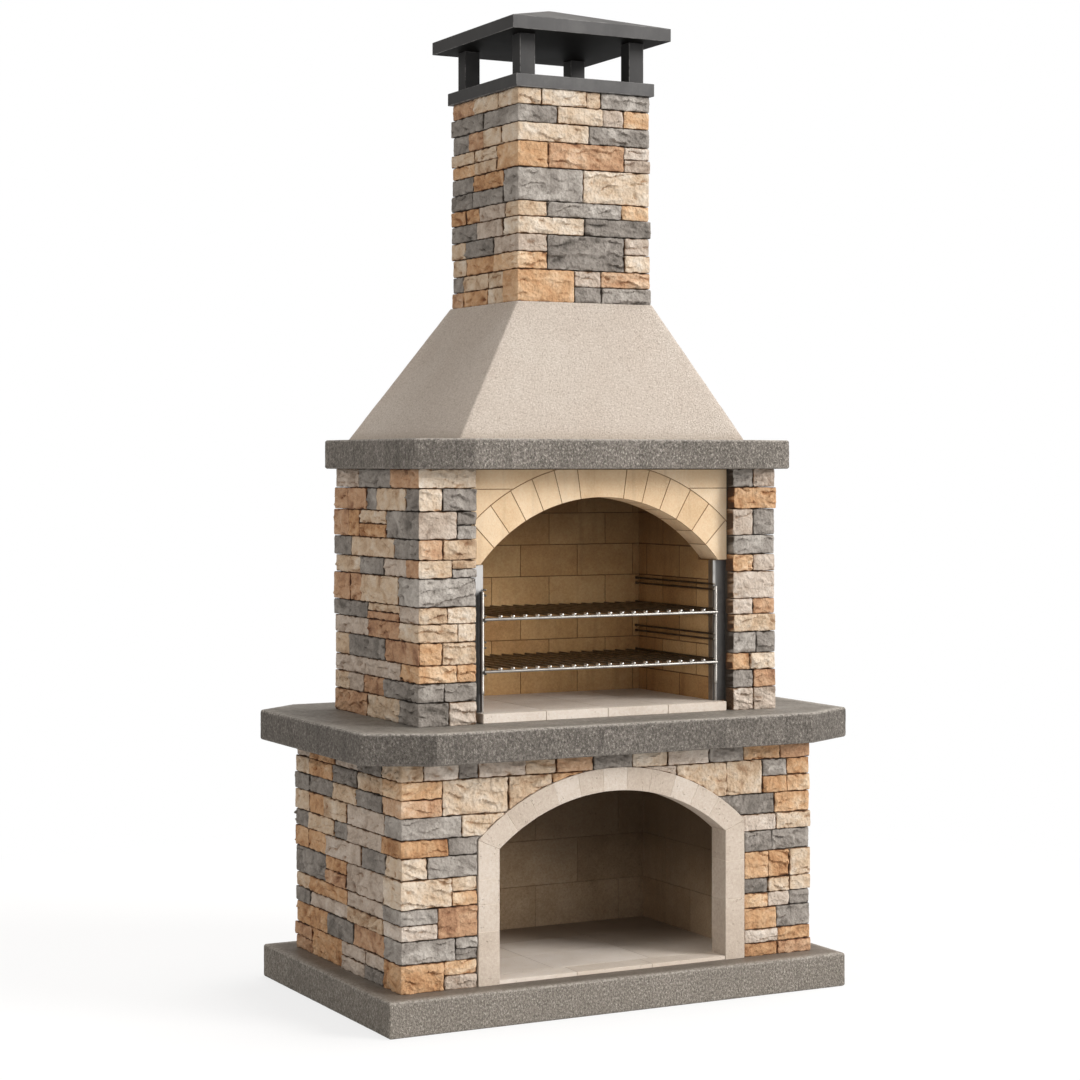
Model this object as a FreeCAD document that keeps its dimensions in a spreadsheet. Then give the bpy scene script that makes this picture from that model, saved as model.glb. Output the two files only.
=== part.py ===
import FreeCAD, Part
import math
import os
import Sketcher

# Masonry barbecue: log store below, worktop, firebox with two sliding grills,
# mantel, rendered hood, stone chimney and steel cowl.
# Origin on the floor under the middle of the worktop; the front faces -Y.

os.makedirs("parts", exist_ok=True)
doc = FreeCAD.newDocument("barbecue")
sheet = doc.addObject("Spreadsheet::Sheet", "Sizes")
Vector = FreeCAD.Vector

# Driving sizes in millimetres. Fronts and backs are distances from the origin.
SIZES = {
    "base_margin": 70, "base_front": 460, "base_back": 485, "base_height": 100, "slab_edge": 7,
    "body_width": 1360, "body_front": 380, "body_back": 400, "body_height": 640,
    "stone_thickness": 40, "stone_joint": 2.5, "stone_relief": 6,
    "log_width": 750, "log_height": 525, "log_rise": 142, "log_ring": 66, "log_ring_depth": 79,
    "log_ring_proud": 2, "log_inner_width": 960, "log_depth": 592, "log_lining": 30,
    "log_floor": 12, "floor_joint": 2, "block_length": 300, "block_height": 142, "block_joint": 2,
    "worktop_overhang": 125, "worktop_depth": 970, "worktop_height": 90,
    "worktop_front_cut": 185, "worktop_front_chamfer": 100,
    "worktop_back_cut": 150, "worktop_back_chamfer": 115,
    "fire_width": 1194, "fire_front": 315, "fire_back": 292, "fire_height": 725, "fire_offset": 16,
    "mouth_width": 860, "arch_width": 796, "arch_height": 642, "arch_rise": 191, "arch_ring": 100,
    "arch_recess": 40, "arch_thickness": 97, "arch_joint": 0.8, "spandrel_cap": 58,
    "side_brick": 40, "back_brick": 30, "firebox_depth": 465,
    "brick_length": 200, "brick_height": 98, "brick_joint": 2.5,
    "hearth_height": 28, "hearth_setback": 5, "hearth_end_gap": 22, "tile_joint": 1.5,
    "angle_setback": 9, "angle_return": 22, "angle_thickness": 4,
    "post_diameter": 12, "post_height": 347, "foot_diameter": 8, "foot_height": 54,
    "runner_diameter": 6, "runner_drop": 7, "runner_lift": 9, "runner_embed": 20, "rack_clearance": 0.5,
    "level_first": 117, "level_step": 75,
    "bar_diameter": 9, "side_bar_diameter": 8, "rod_diameter": 7, "grill_clearance": 1.5,
    "grill_back_gap": 14, "rod_overhang": 10,
    "mantel_overhang": 28, "mantel_front": 391, "mantel_back": 300, "mantel_height": 87,
    "mantel_cut": 171, "mantel_chamfer": 44, "throat_width": 700, "throat_front": 160, "throat_back": 170,
    "hood_front": 331, "hood_back": 285, "hood_front_width": 950, "hood_back_width": 1112,
    "hood_height": 404, "hood_wall": 40, "hood_lip": 4,
    "chimney_width": 450, "chimney_middle": 25, "chimney_height": 626, "flue_width": 290,
    "collar_width": 465, "collar_height": 38, "stay_size": 50, "stay_inset": 24, "stay_height": 123,
    "cap_width": 530, "cap_depth": 550, "cap_skirt": 38, "cap_rise": 74, "cap_sheet": 3, "cap_tip": 16,
}

# Levels and faces that follow from the driving sizes.
DERIVED = {
    "base_width": "body_width + 2 * base_margin",
    "worktop_width": "body_width + 2 * worktop_overhang",
    "mantel_width": "fire_width + 2 * mantel_overhang",
    "body_top": "base_height + body_height",
    "worktop_top": "body_top + worktop_height",
    "fire_top": "worktop_top + fire_height",
    "mantel_top": "fire_top + mantel_height",
    "hood_top": "mantel_top + hood_height",
    "chimney_top": "hood_top + chimney_height",
    "collar_top": "chimney_top + collar_height",
    "stay_top": "collar_top + stay_height",
    "skirt_top": "stay_top + cap_skirt",
    "core_front": "-body_front + stone_thickness",
    "log_front": "-body_front - log_ring_proud + log_ring_depth",
    "log_back": "log_front + log_depth",
    "core_back": "body_back - stone_thickness",
    "core_half": "body_width / 2 - stone_thickness",
    "log_radius": "(log_width * log_width / 4 + log_rise * log_rise) / (2 * log_rise)",
    "log_centre": "base_height + log_height - log_radius",
    "log_outer": "log_width / 2 + log_ring",
    "log_spring": "base_height + log_height - log_rise",
    "log_outer_spring": "log_centre + sqrt((log_radius + log_ring) ^ 2 - log_outer ^ 2)",
    "fire_core_half": "fire_width / 2 - stone_thickness",
    "fire_core_front": "-fire_front + stone_thickness",
    "fire_core_back": "fire_back - stone_thickness",
    "mouth_left": "fire_offset - mouth_width / 2",
    "mouth_right": "fire_offset + mouth_width / 2",
    "panel_front": "-fire_front + arch_recess",
    "panel_back": "panel_front + arch_thickness",
    "arch_radius": "(arch_width * arch_width / 4 + arch_rise * arch_rise) / (2 * arch_rise)",
    "arch_centre": "worktop_top + arch_height - arch_radius",
    "arch_spring": "worktop_top + arch_height - arch_rise",
    "hearth_top": "worktop_top + hearth_height",
    "lining_half": "mouth_width / 2 - side_brick",
    "lining_back": "panel_front + firebox_depth",
    "angle_front": "panel_front + angle_setback",
    "lining_front": "angle_front + angle_thickness",
    "angle_inner": "lining_half - angle_thickness",
    "post_line": "angle_front - post_diameter / 2",
    "runner_reach": "angle_inner - rack_clearance - runner_diameter / 2",
    "post_reach": "angle_inner - rack_clearance + post_diameter / 2",
    "side_bar_reach": "angle_inner - rack_clearance - grill_clearance - side_bar_diameter / 2",
    "front_bar_line": "post_line - post_diameter / 2 - grill_clearance - bar_diameter / 2",
    "back_bar_line": "lining_back - grill_back_gap",
    "lower_grill_level": "hearth_top + level_first",
    "upper_grill_level": "hearth_top + level_first + 2 * level_step",
    "flue_half": "chimney_width / 2 - stone_thickness",
}

HEARTH_TILES = 4
HEARTH_ROWS = 2
FLOOR_TILES = 3
RACK_LEVELS = 4
GRILL_RODS = 18
LOG_VOUSSOIRS_PER_SIDE = 5
FIRE_VOUSSOIRS_PER_SIDE = 6
LOG_KEYSTONE_ANGLE = 7.6
FIRE_KEYSTONE_ANGLE = 16
LEFT_JAMB_BLOCKS = (153, 77, 71, 83)
RIGHT_JAMB_BLOCKS = (178, 116, 90)
SMALLEST_STONE = 25000
BAR_SIDES = 8
ROUGH_RADIUS = 100
LEVEL_TOLERANCE = 0.001

TONES = {"g": "grey", "l": "greige", "b": "buff", "o": "ochre", "r": "russet"}
NEXT_TONE = {"g": "l", "l": "b", "b": "o", "o": "g", "r": "b"}

# Setting out of the facing stones, top course first, each course read from left to right.
# A letter is a tone, the number is the length in centimetres before the course is fitted to
# its wall, and several letters are stones stacked in one column. A bar marks the log store arch.
CHIMNEY_COURSES = (48, 52, 55, 76, 98, 45, 52, 103, 95)
CHIMNEY_FRONT = (
    "b8 b15 b5 g17", "g13 b15 l7 o9", "b24 g21", "o10 r25 ll9", "g22 b23",
    "b10 g25 o10", "b22 g22", "lo10 g26 lb9", "o19 lg9 rg17",
)
CHIMNEY_LEFT = (
    "r16 b16 b13", "g22 g23", "g12 r10 b12 b11", "bo16 bb15 o14", "gg15 og20 g10",
    "o10 o9 l17 b9", "g18 l17 b10", "bb10 go19 lo16", "gr8 bo17 bb10 o10",
)
FIRE_COURSES = (53, 63, 77, 56, 50, 79, 46, 51, 62, 49, 52, 65)
LEFT_PIER = (
    "b18", "b8 g11", "l12 gg6", "r8 b11", "b11 bg8", "g18", "b9 b9", "b13 b6",
    "o8 b11", "o12 o6", "g8 g10", "g10 l9",
)
RIGHT_PIER = (
    "g7 l8", "o15", "l7 g8", "g15", "o7 l8", "l15", "l7 r8", "b15", "g8 g7", "o6 b9", "g7 r8", "l7 l8",
)
FIRE_LEFT = (
    "l18 g23 r20", "r10 r13 g7 b20 g9", "r11 o7 bo18 g11 g11", "g13 b30 g17", "b19 g17 l15 r9",
    "r12 r8 b26 g14", "g25 br22 l13", "l25 r22 b13", "b11 g26 r23", "l23 l25 o12",
    "b11 l10 r14 g23", "r24 b23 g13",
)
BODY_COURSES = (54, 101, 61, 50, 61, 81, 88, 64, 80)
BODY_FRONT = (
    "b7 l11 g6 l15 b10 r12 g13 b12 l14 g12 o13 r11",
    "or13 b21 b14 o12 | l13 b18 b13 go9 oo9",
    "g19 b14 | g20 o13",
    "o14 g10 | l12 b12",
    "b8 g15 | g10 g14",
    "b16 bo8 | o9 o8 b8",
    "gl11 r12 | go9 bl8 bg8",
    "g17 gg7 | o12 g13",
    "o13 ol10 | lo12 or12",
)
BODY_LEFT = (
    "l11 o18 l16 g16 b13", "bg10 og16 gb16 bg16 or12", "b11 o11 b17 l26 g12", "g10 b19 g9 l24 o13",
    "o10 o13 l25 g16 b11", "g23 or15 l26 b12", "bg11 ol27 lb24 gl12", "o24 g19 r21 g12",
    "rr13 o22 ll17 lg13 o12",
)

PARTS = {}


def fill_sheet():
    row = 0
    for name, value in SIZES.items():
        row += 1
        sheet.set(f"A{row}", name)
        sheet.set(f"B{row}", str(value))
        sheet.setAlias(f"B{row}", name)
    for name, formula in DERIVED.items():
        row += 1
        sheet.set(f"A{row}", name)
        sheet.set(f"B{row}", "=" + formula)
        sheet.setAlias(f"B{row}", name)
    doc.recompute()


def size(name):
    return float(sheet.get(name))


def keep(label, item):
    item.Label = label
    PARTS[label] = item
    return item


def bind(item, **formulas):
    for name, formula in formulas.items():
        item.setExpression(name, formula)
    return item


def place(item, x, y, z):
    item.setExpression("Placement.Base.x", x)
    item.setExpression("Placement.Base.y", y)
    item.setExpression("Placement.Base.z", z)
    return item


def cells(formula):
    # Prefix the names in a formula with the sheet they are read from.
    words = []
    for word in formula.split():
        names = word.strip("()")
        if names in SIZES or names in DERIVED:
            word = word.replace(names, "Sizes." + names)
        words.append(word)
    return " ".join(words)


def block(name, x, y, z):
    # Box between pairs of formulas along each axis.
    item = doc.addObject("Part::Box", name)
    bind(item, Length=cells(f"( {x[1]} ) - ( {x[0]} )"))
    bind(item, Width=cells(f"( {y[1]} ) - ( {y[0]} )"))
    bind(item, Height=cells(f"( {z[1]} ) - ( {z[0]} )"))
    return place(item, cells(x[0]), cells(y[0]), cells(z[0]))


TURNS = {
    "x": FreeCAD.Rotation(Vector(0, 1, 0), 90),
    "y": FreeCAD.Rotation(Vector(1, 0, 0), -90),
    "z": FreeCAD.Rotation(),
}


def laid(item, axis, length, x, y, z):
    # Start the item at x, y, z and run it along the axis.
    item.Placement = FreeCAD.Placement(Vector(), TURNS[axis])
    bind(item, Height=cells(length))
    return place(item, cells(x), cells(y), cells(z))


def round_bar(name, axis, diameter, *run):
    item = doc.addObject("Part::Cylinder", name)
    bind(item, Radius=cells(f"{diameter} / 2"))
    return laid(item, axis, *run)


def slim_bar(name, axis, diameter, *run):
    # Thin rod, drawn with few sides.
    item = doc.addObject("Part::Prism", name)
    item.Polygon = BAR_SIDES
    bind(item, Circumradius=cells(f"{diameter} / 2"))
    return laid(item, axis, *run)


def frustum(name, foot, head, level, rise):
    # Block with flat sloping sides between two rectangles: left, right, front, back.
    item = doc.addObject("Part::Wedge", name)
    item.Placement = FreeCAD.Placement(Vector(), FreeCAD.Rotation(Vector(1, 0, 0), 90))
    bind(item, Xmin=cells(foot[0]), Xmax=cells(foot[1]))
    bind(item, Zmin=cells(f"0 - ( {foot[3]} )"), Zmax=cells(f"0 - ( {foot[2]} )"))
    bind(item, X2min=cells(head[0]), X2max=cells(head[1]))
    bind(item, Z2min=cells(f"0 - ( {head[3]} )"), Z2max=cells(f"0 - ( {head[2]} )"))
    bind(item, Ymin="0", Ymax=cells(rise))
    return place(item, "0", "0", cells(level))


def group(label, items):
    item = doc.addObject("Part::Compound", label)
    item.Links = items
    return keep(label, item)


def cut(name, base, tool):
    item = doc.addObject("Part::Cut", name)
    item.Base = base
    item.Tool = tool
    return item


def shaped(label, solids):
    item = doc.addObject("Part::Feature", label)
    item.Shape = Part.makeCompound(solids)
    return keep(label, item)


def new_body(label):
    return keep(label, doc.addObject("PartDesign::Body", label))


def outline(body, name, points, height=None):
    # Closed sketch on the floor plane whose corners are set by formulas.
    sketch = body.newObject("Sketcher::SketchObject", name)
    floor = next(item for item in body.Origin.OriginFeatures if item.Role == "XY_Plane")
    sketch.AttachmentSupport = [(floor, "")]
    sketch.MapMode = "FlatFace"
    count = len(points)
    turn = 2 * math.pi / count
    spokes = [Vector(math.cos(turn * i), math.sin(turn * i), 0) for i in range(count)]
    rough = [spoke * ROUGH_RADIUS for spoke in spokes]
    for i in range(count):
        sketch.addGeometry(Part.LineSegment(rough[i], rough[(i + 1) % count]))
    for i in range(count):
        sketch.addConstraint(Sketcher.Constraint("Coincident", i, 2, (i + 1) % count, 1))
    for i, (x, y) in enumerate(points):
        across = sketch.addConstraint(Sketcher.Constraint("DistanceX", -1, 1, i, 1, rough[i].x))
        sketch.setExpression(f"Constraints[{across}]", cells(x))
        along = sketch.addConstraint(Sketcher.Constraint("DistanceY", -1, 1, i, 1, rough[i].y))
        sketch.setExpression(f"Constraints[{along}]", cells(y))
    if height:
        sketch.setExpression("AttachmentOffset.Base.z", cells(height))
    doc.recompute()
    return sketch


def pad(body, sketch, length):
    feature = body.newObject("PartDesign::Pad", sketch.Name + "_pad")
    feature.Profile = sketch
    bind(feature, Length=cells(length))
    doc.recompute()
    return feature


def is_level(edge):
    return edge.BoundBox.ZLength < LEVEL_TOLERANCE


def round_edges(body, feature, radius, wanted):
    names = [f"Edge{i}" for i, edge in enumerate(feature.Shape.Edges, 1) if wanted(edge)]
    rounding = body.newObject("PartDesign::Fillet", feature.Name + "_round")
    rounding.Base = (feature, names)
    bind(rounding, Radius=cells(radius))
    doc.recompute()
    return rounding


def rectangle(left, right, front, back):
    return [(left, front), (right, front), (right, back), (left, back)]


def base_slab():
    body = new_body("base_slab")
    plan = rectangle("0 - base_width / 2", "base_width / 2", "0 - base_front", "base_back")
    slab = pad(body, outline(body, "base_outline", plan), "base_height")
    middle = slab.Shape.BoundBox.Center.z
    round_edges(body, slab, "slab_edge", lambda edge: is_level(edge) and edge.BoundBox.ZMin > middle)


def worktop():
    body = new_body("worktop")
    side = "worktop_width / 2"
    end = "worktop_depth / 2"
    front_x = "worktop_width / 2 - worktop_front_cut"
    front_y = "worktop_depth / 2 - worktop_front_chamfer"
    back_x = "worktop_width / 2 - worktop_back_cut"
    back_y = "worktop_depth / 2 - worktop_back_chamfer"
    right = [(front_x, f"0 - ( {end} )"), (side, f"0 - ( {front_y} )"), (side, back_y), (back_x, end)]
    left = [(f"0 - ( {x} )", y) for x, y in reversed(right)]
    slab = pad(body, outline(body, "worktop_outline", right + left, "body_top"), "worktop_height")
    round_edges(body, slab, "slab_edge", is_level)


def mantel():
    body = new_body("mantel")
    side = "mantel_width / 2"
    corner = "mantel_width / 2 - mantel_cut"
    right = [(corner, "0 - mantel_front"), (side, "mantel_chamfer - mantel_front"), (side, "mantel_back")]
    left = [(f"0 - ( {x} )", y) for x, y in reversed(right)]
    slab = pad(body, outline(body, "mantel_outline", right + left, "fire_top"), "mantel_height")
    rounded = round_edges(body, slab, "slab_edge", is_level)
    throat = rectangle("fire_offset - throat_width / 2", "fire_offset + throat_width / 2",
                       "0 - throat_front", "throat_back")
    sketch = outline(body, "throat_outline", throat, "mantel_top")
    pocket = body.newObject("PartDesign::Pocket", "throat")
    pocket.Profile = sketch
    pocket.Type = "ThroughAll"
    doc.recompute()
    if pocket.Shape.Volume >= rounded.Shape.Volume:
        pocket.Reversed = True
        doc.recompute()


def flat_face(points):
    return Part.Face(Part.makePolygon(points + [points[0]]))


def wound_face(foot, neck):
    return Part.makeRuledSurface(Part.makeLine(*foot), Part.makeLine(*neck))


def hood():
    # The foot is wider at the back than at the front, so the sides wind up to the square neck.
    low = size("mantel_top")
    high = size("hood_top")
    near = size("hood_front_width") / 2
    far = size("hood_back_width") / 2
    front = -size("hood_front")
    back = size("hood_back")
    foot = [Vector(-near, front, low), Vector(near, front, low)]
    foot += [Vector(far, back, low), Vector(-far, back, low)]
    half = size("chimney_width") / 2 + size("hood_lip")
    middle = size("chimney_middle")
    neck = [point + Vector(0, 0, high) for point in ring(half, middle - half, middle + half)]
    faces = [flat_face(foot), flat_face(neck)]
    faces.append(flat_face(foot[:2] + [neck[1], neck[0]]))
    faces.append(flat_face(foot[2:] + [neck[3], neck[2]]))
    faces.append(wound_face(foot[1:3], neck[1:3]))
    faces.append(wound_face((foot[3], foot[0]), (neck[3], neck[0])))
    shell = Part.Shell(faces)
    shell.sewShape()
    skin = doc.addObject("Part::Feature", "hood_skin")
    skin.Shape = Part.Solid(shell)
    reach = "( hood_front_width / 2 - hood_wall )"
    inner_foot = (f"0 - {reach}", reach, "hood_wall - hood_front", "hood_back - hood_wall")
    inner_neck = ("0 - flue_width / 2", "flue_width / 2",
                  "chimney_middle - flue_width / 2", "chimney_middle + flue_width / 2")
    void = frustum("hood_void", inner_foot, inner_neck, "mantel_top", "hood_height")
    keep("hood", cut("hood_shell", skin, void))


def log_store_walls():
    half = "core_half"
    inner = "log_inner_width / 2 + log_lining"
    levels = ("base_height", "body_top")
    keep("base_left_wall", block("base_left", ("0 - core_half", f"0 - ( {inner} )"),
                                 ("log_front", "core_back"), levels))
    keep("base_right_wall", block("base_right", (inner, half), ("log_front", "core_back"), levels))
    keep("base_back_wall", block("base_back", (f"0 - ( {inner} )", inner),
                                 ("log_back + log_lining", "core_back"), levels))
    depth = ("core_front", "log_front")
    pier_levels = ("base_height", "log_outer_spring")
    left = block("front_left", ("0 - core_half", "0 - log_outer"), depth, pier_levels)
    right = block("front_right", ("log_outer", half), depth, pier_levels)
    group("base_front_piers", [left, right])
    beam = block("lintel_beam", ("0 - core_half", half), depth, ("log_outer_spring", "body_top"))
    curve = round_bar("lintel_curve", "y", "( log_radius + log_ring + arch_joint ) * 2",
                      "log_front - core_front", "0", "core_front", "log_centre")
    keep("base_lintel", cut("lintel", beam, curve))


def log_floor():
    half = "log_inner_width / 2"
    tiles = []
    levels = ("base_height", "base_height + log_floor")
    sill = ("0 - body_front", "log_front - floor_joint / 2")
    for column in range(FLOOR_TILES):
        left = f"0 - log_width / 2 + log_width * {column} / {FLOOR_TILES} + floor_joint / 2"
        right = f"0 - log_width / 2 + log_width * {column + 1} / {FLOOR_TILES} - floor_joint / 2"
        tiles.append(block(f"sill_{column}", (left, right), sill, levels))
        left = f"0 - {half} + log_inner_width * {column} / {FLOOR_TILES} + floor_joint / 2"
        right = f"0 - {half} + log_inner_width * {column + 1} / {FLOOR_TILES} - floor_joint / 2"
        for row in range(FLOOR_TILES):
            near = f"log_front + log_depth * {row} / {FLOOR_TILES} + floor_joint / 2"
            far = f"log_front + log_depth * {row + 1} / {FLOOR_TILES} - floor_joint / 2"
            tiles.append(block(f"floor_{column}_{row}", (left, right), (near, far), levels))
    group("log_floor_tiles", tiles)


def running_bond(origin, along, depth, length, height, brick, course, joint, thickness):
    # Rows of bricks from an origin, every second row shifted by half a brick.
    bricks = []
    row = 0
    level = 0
    while level < height - joint:
        top = min(level + course - joint, height)
        start = -brick / 2 if row % 2 else 0
        while start < length - joint:
            left = max(start, 0)
            right = min(start + brick - joint, length)
            if right - left > joint:
                corner = origin + along * left + Vector(0, 0, level)
                points = [corner, corner + along * (right - left)]
                points += [points[1] + depth * thickness, corner + depth * thickness]
                bricks.append(prism(points, Vector(0, 0, top - level)))
            start += brick
        level += course
        row += 1
    return bricks


def prism(points, sweep):
    return flat_face(points).extrude(sweep)


def solids_of(shapes):
    return [solid for shape in shapes for solid in shape.Solids]


def log_lining():
    thickness = size("log_lining")
    half = size("log_inner_width") / 2
    base = size("base_height")
    brick = (size("block_length"), size("block_height"), size("block_joint"), thickness)
    length = size("log_depth")
    height = size("body_height")
    front = size("log_front")
    left = Vector(-half - thickness, front, base)
    shaped("log_lining_left", running_bond(left, Vector(0, 1, 0), Vector(1, 0, 0), length, height, *brick))
    right = Vector(half, front, base)
    shaped("log_lining_right", running_bond(right, Vector(0, 1, 0), Vector(1, 0, 0), length, height, *brick))
    back = Vector(-half - thickness, size("log_back"), base)
    width = 2 * (half + thickness)
    shaped("log_lining_back", running_bond(back, Vector(1, 0, 0), Vector(0, 1, 0), width, height, *brick))


def arch_stone(centre, radii, start, end, depth):
    # Ring segment between two joints, each given as (inner angle, outer angle) from the crown.
    inner, outer = radii

    def spot(radius, angle):
        return centre + Vector(radius * math.sin(angle), 0, radius * math.cos(angle))

    def arc(radius, first, last):
        return Part.Arc(spot(radius, first), spot(radius, (first + last) / 2), spot(radius, last)).toShape()

    edges = [
        arc(inner, start[0], end[0]),
        Part.makeLine(spot(inner, end[0]), spot(outer, end[1])),
        arc(outer, end[1], start[1]),
        Part.makeLine(spot(outer, start[1]), spot(inner, start[0])),
    ]
    return Part.Face(Part.Wire(edges)).extrude(Vector(0, depth, 0))


def ring_joints(key_angle, spring, per_side):
    # Joint angles to the right of the crown, from the keystone to the springing.
    key = math.radians(key_angle) / 2
    step = (spring - key) / per_side
    return [key + step * i for i in range(per_side + 1)]


def ring_stones(centre, radii, joints, outer_spring, joint, depth):
    # Keystone first, then the voussoirs of both sides.
    gap = joint / 2 / radii[0]
    key = arch_stone(centre, radii, (gap - joints[0],) * 2, (joints[0] - gap,) * 2, depth)
    stones = []
    for i in range(len(joints) - 1):
        low = joints[i] + gap
        high = joints[i + 1] - gap
        start = (low, low)
        end = (high, high)
        if i == len(joints) - 2:
            end = (joints[-1], outer_spring)
        stones.append(arch_stone(centre, radii, start, end, depth))
        stones.append(arch_stone(centre, radii, (-start[0], -start[1]), (-end[0], -end[1]), depth))
    return key, stones


def log_arch():
    radii = (size("log_radius"), size("log_radius") + size("log_ring"))
    centre = Vector(0, -size("body_front") - size("log_ring_proud"), size("log_centre"))
    spring = math.asin(size("log_width") / 2 / radii[0])
    outer_spring = math.asin(size("log_outer") / radii[1])
    joints = ring_joints(LOG_KEYSTONE_ANGLE, spring, LOG_VOUSSOIRS_PER_SIDE)
    depth = size("log_ring_depth")
    key, stones = ring_stones(centre, radii, joints, outer_spring, size("arch_joint"), depth)
    shaped("log_arch_keystone", [key])
    shaped("log_arch_voussoirs", stones)
    jamb("log_left_jamb", -1, LEFT_JAMB_BLOCKS)
    jamb("log_right_jamb", 1, RIGHT_JAMB_BLOCKS)


def jamb(label, side, heights):
    # Blocks from the base slab up to the oblique springing of the arch.
    inner = size("log_width") / 2
    outer = size("log_outer")
    front = -size("body_front") - size("log_ring_proud")
    joint = size("arch_joint")
    level = size("base_height")
    scale = (size("log_spring") - level) / sum(heights)
    blocks = []
    for i, height in enumerate(heights):
        top = level + height * scale - joint
        outer_top = top
        if i == len(heights) - 1:
            outer_top = size("log_outer_spring") - joint
        corners = [(inner, level), (outer, level), (outer, outer_top), (inner, top)]
        points = [Vector(side * x, front, z) for x, z in corners]
        blocks.append(prism(points, Vector(0, size("log_ring_depth"), 0)))
        level += height * scale
    shaped(label, blocks)


def hearth():
    tiles = []
    levels = ("worktop_top", "hearth_top")
    front = "0 - fire_front + hearth_setback"
    gap = "tile_joint / 2"
    kerb_left = "mouth_left + hearth_end_gap"
    kerb_width = "( mouth_width - 2 * hearth_end_gap )"
    bed_left = "( fire_offset - lining_half + tile_joint / 2 )"
    bed_width = "( 2 * lining_half - tile_joint )"
    bed_depth = "( lining_back - lining_front )"
    for column in range(HEARTH_TILES):
        left = f"{kerb_left} + {kerb_width} * {column} / {HEARTH_TILES} + {gap}"
        right = f"{kerb_left} + {kerb_width} * {column + 1} / {HEARTH_TILES} - {gap}"
        tiles.append(block(f"kerb_{column}", (left, right), (front, f"lining_front - {gap}"), levels))
        left = f"{bed_left} + {bed_width} * {column} / {HEARTH_TILES} + {gap}"
        right = f"{bed_left} + {bed_width} * {column + 1} / {HEARTH_TILES} - {gap}"
        for row in range(HEARTH_ROWS):
            near = f"lining_front + {bed_depth} * {row} / {HEARTH_ROWS} + {gap}"
            far = f"lining_front + {bed_depth} * {row + 1} / {HEARTH_ROWS} - {gap}"
            tiles.append(block(f"hearth_{column}_{row}", (left, right), (near, far), levels))
    group("hearth_tiles", tiles)


def firebox_walls():
    levels = ("worktop_top", "fire_top")
    depth = ("fire_core_front", "fire_core_back")
    keep("fire_left_wall", block("fire_left", ("0 - fire_core_half", "mouth_left"), depth, levels))
    keep("fire_right_wall", block("fire_right", ("mouth_right", "fire_core_half"), depth, levels))
    keep("fire_back_wall", block("fire_rear", ("mouth_left", "mouth_right"),
                                 ("lining_back + back_brick", "fire_core_back"), levels))


def runner_levels():
    first = size("hearth_top") + size("level_first")
    return [first + size("level_step") * i for i in range(RACK_LEVELS)]


def firebricks():
    base = size("worktop_top")
    height = size("fire_height")
    side = size("side_brick")
    front = size("lining_front")
    back = size("lining_back")
    joint = size("brick_joint")
    brick = (size("brick_length"), size("brick_height"), joint)
    left = Vector(size("mouth_left"), front, base)
    right = Vector(size("mouth_right") - side, front, base)
    length = back - joint - front
    arch_end = Part.makeBox(size("mouth_width"), size("panel_back") - front + joint, height,
                            Vector(size("mouth_left"), front, size("arch_spring") - size("arch_joint")))
    for label, origin in (("firebrick_left", left), ("firebrick_right", right)):
        rows = running_bond(origin, Vector(0, 1, 0), Vector(1, 0, 0), length, height, *brick, side)
        shaped(label, solids_of([item.cut(arch_end) for item in rows]))
    rear = Vector(size("mouth_left"), back, base)
    rows = running_bond(rear, Vector(1, 0, 0), Vector(0, 1, 0), size("mouth_width"), height,
                        *brick, size("back_brick"))
    sockets = Part.makeCompound(runner_sockets())
    shaped("firebrick_back", solids_of([item.cut(sockets) for item in rows]))


def runner_sockets():
    # Pockets in the back lining that hold the ends of the runners.
    clearance = size("rack_clearance")
    side = size("runner_diameter") + 2 * clearance
    depth = size("runner_embed") + clearance
    sockets = []
    for level in runner_levels():
        for offset in (-size("runner_drop"), size("runner_lift")):
            for hand in (-1, 1):
                x = size("fire_offset") + hand * size("runner_reach") - side / 2
                corner = Vector(x, size("lining_back"), level + offset - side / 2)
                sockets.append(Part.makeBox(side, depth, side, corner))
    return sockets


def fire_arch():
    radii = (size("arch_radius"), size("arch_radius") + size("arch_ring"))
    centre = Vector(size("fire_offset"), size("panel_front"), size("arch_centre"))
    spring = math.asin(size("arch_width") / 2 / radii[0])
    joints = ring_joints(FIRE_KEYSTONE_ANGLE, spring, FIRE_VOUSSOIRS_PER_SIDE)
    joint = size("arch_joint")
    depth = size("arch_thickness")
    low = size("arch_spring")
    joints[-1] = math.pi / 2
    key, stones = ring_stones(centre, radii, joints, math.pi / 2, joint, depth)
    panel = Part.makeBox(size("mouth_width") - joint, depth, size("fire_top") - joint - low,
                         Vector(size("mouth_left") + joint / 2, size("panel_front"), low))
    shaped("fire_arch_keystone", solids_of([key.common(panel)]))
    shaped("fire_arch_voussoirs", solids_of([item.common(panel) for item in stones]))
    spandrel("left", "mouth_left + arch_joint / 2", "fire_offset")
    spandrel("right", "fire_offset", "mouth_right - arch_joint / 2")


def spandrel(side, left, right):
    # Two blocks over the haunch of the fire arch.
    depth = ("panel_front", "panel_back")
    bed = "fire_top - spandrel_cap"
    radius = "( arch_radius + arch_ring + arch_joint ) * 2"
    pieces = []
    rows = {"foot": ("arch_spring", bed), "cap": (f"{bed} + arch_joint", "fire_top - arch_joint")}
    for name, levels in rows.items():
        stock = block(f"{side}_{name}_stock", (left, right), depth, levels)
        curve = round_bar(f"{side}_{name}_curve", "y", radius, "arch_thickness",
                          "fire_offset", "panel_front", "arch_centre")
        pieces.append(cut(f"{side}_{name}", stock, curve))
    group(f"fire_arch_{side}_spandrel", pieces)


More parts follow.
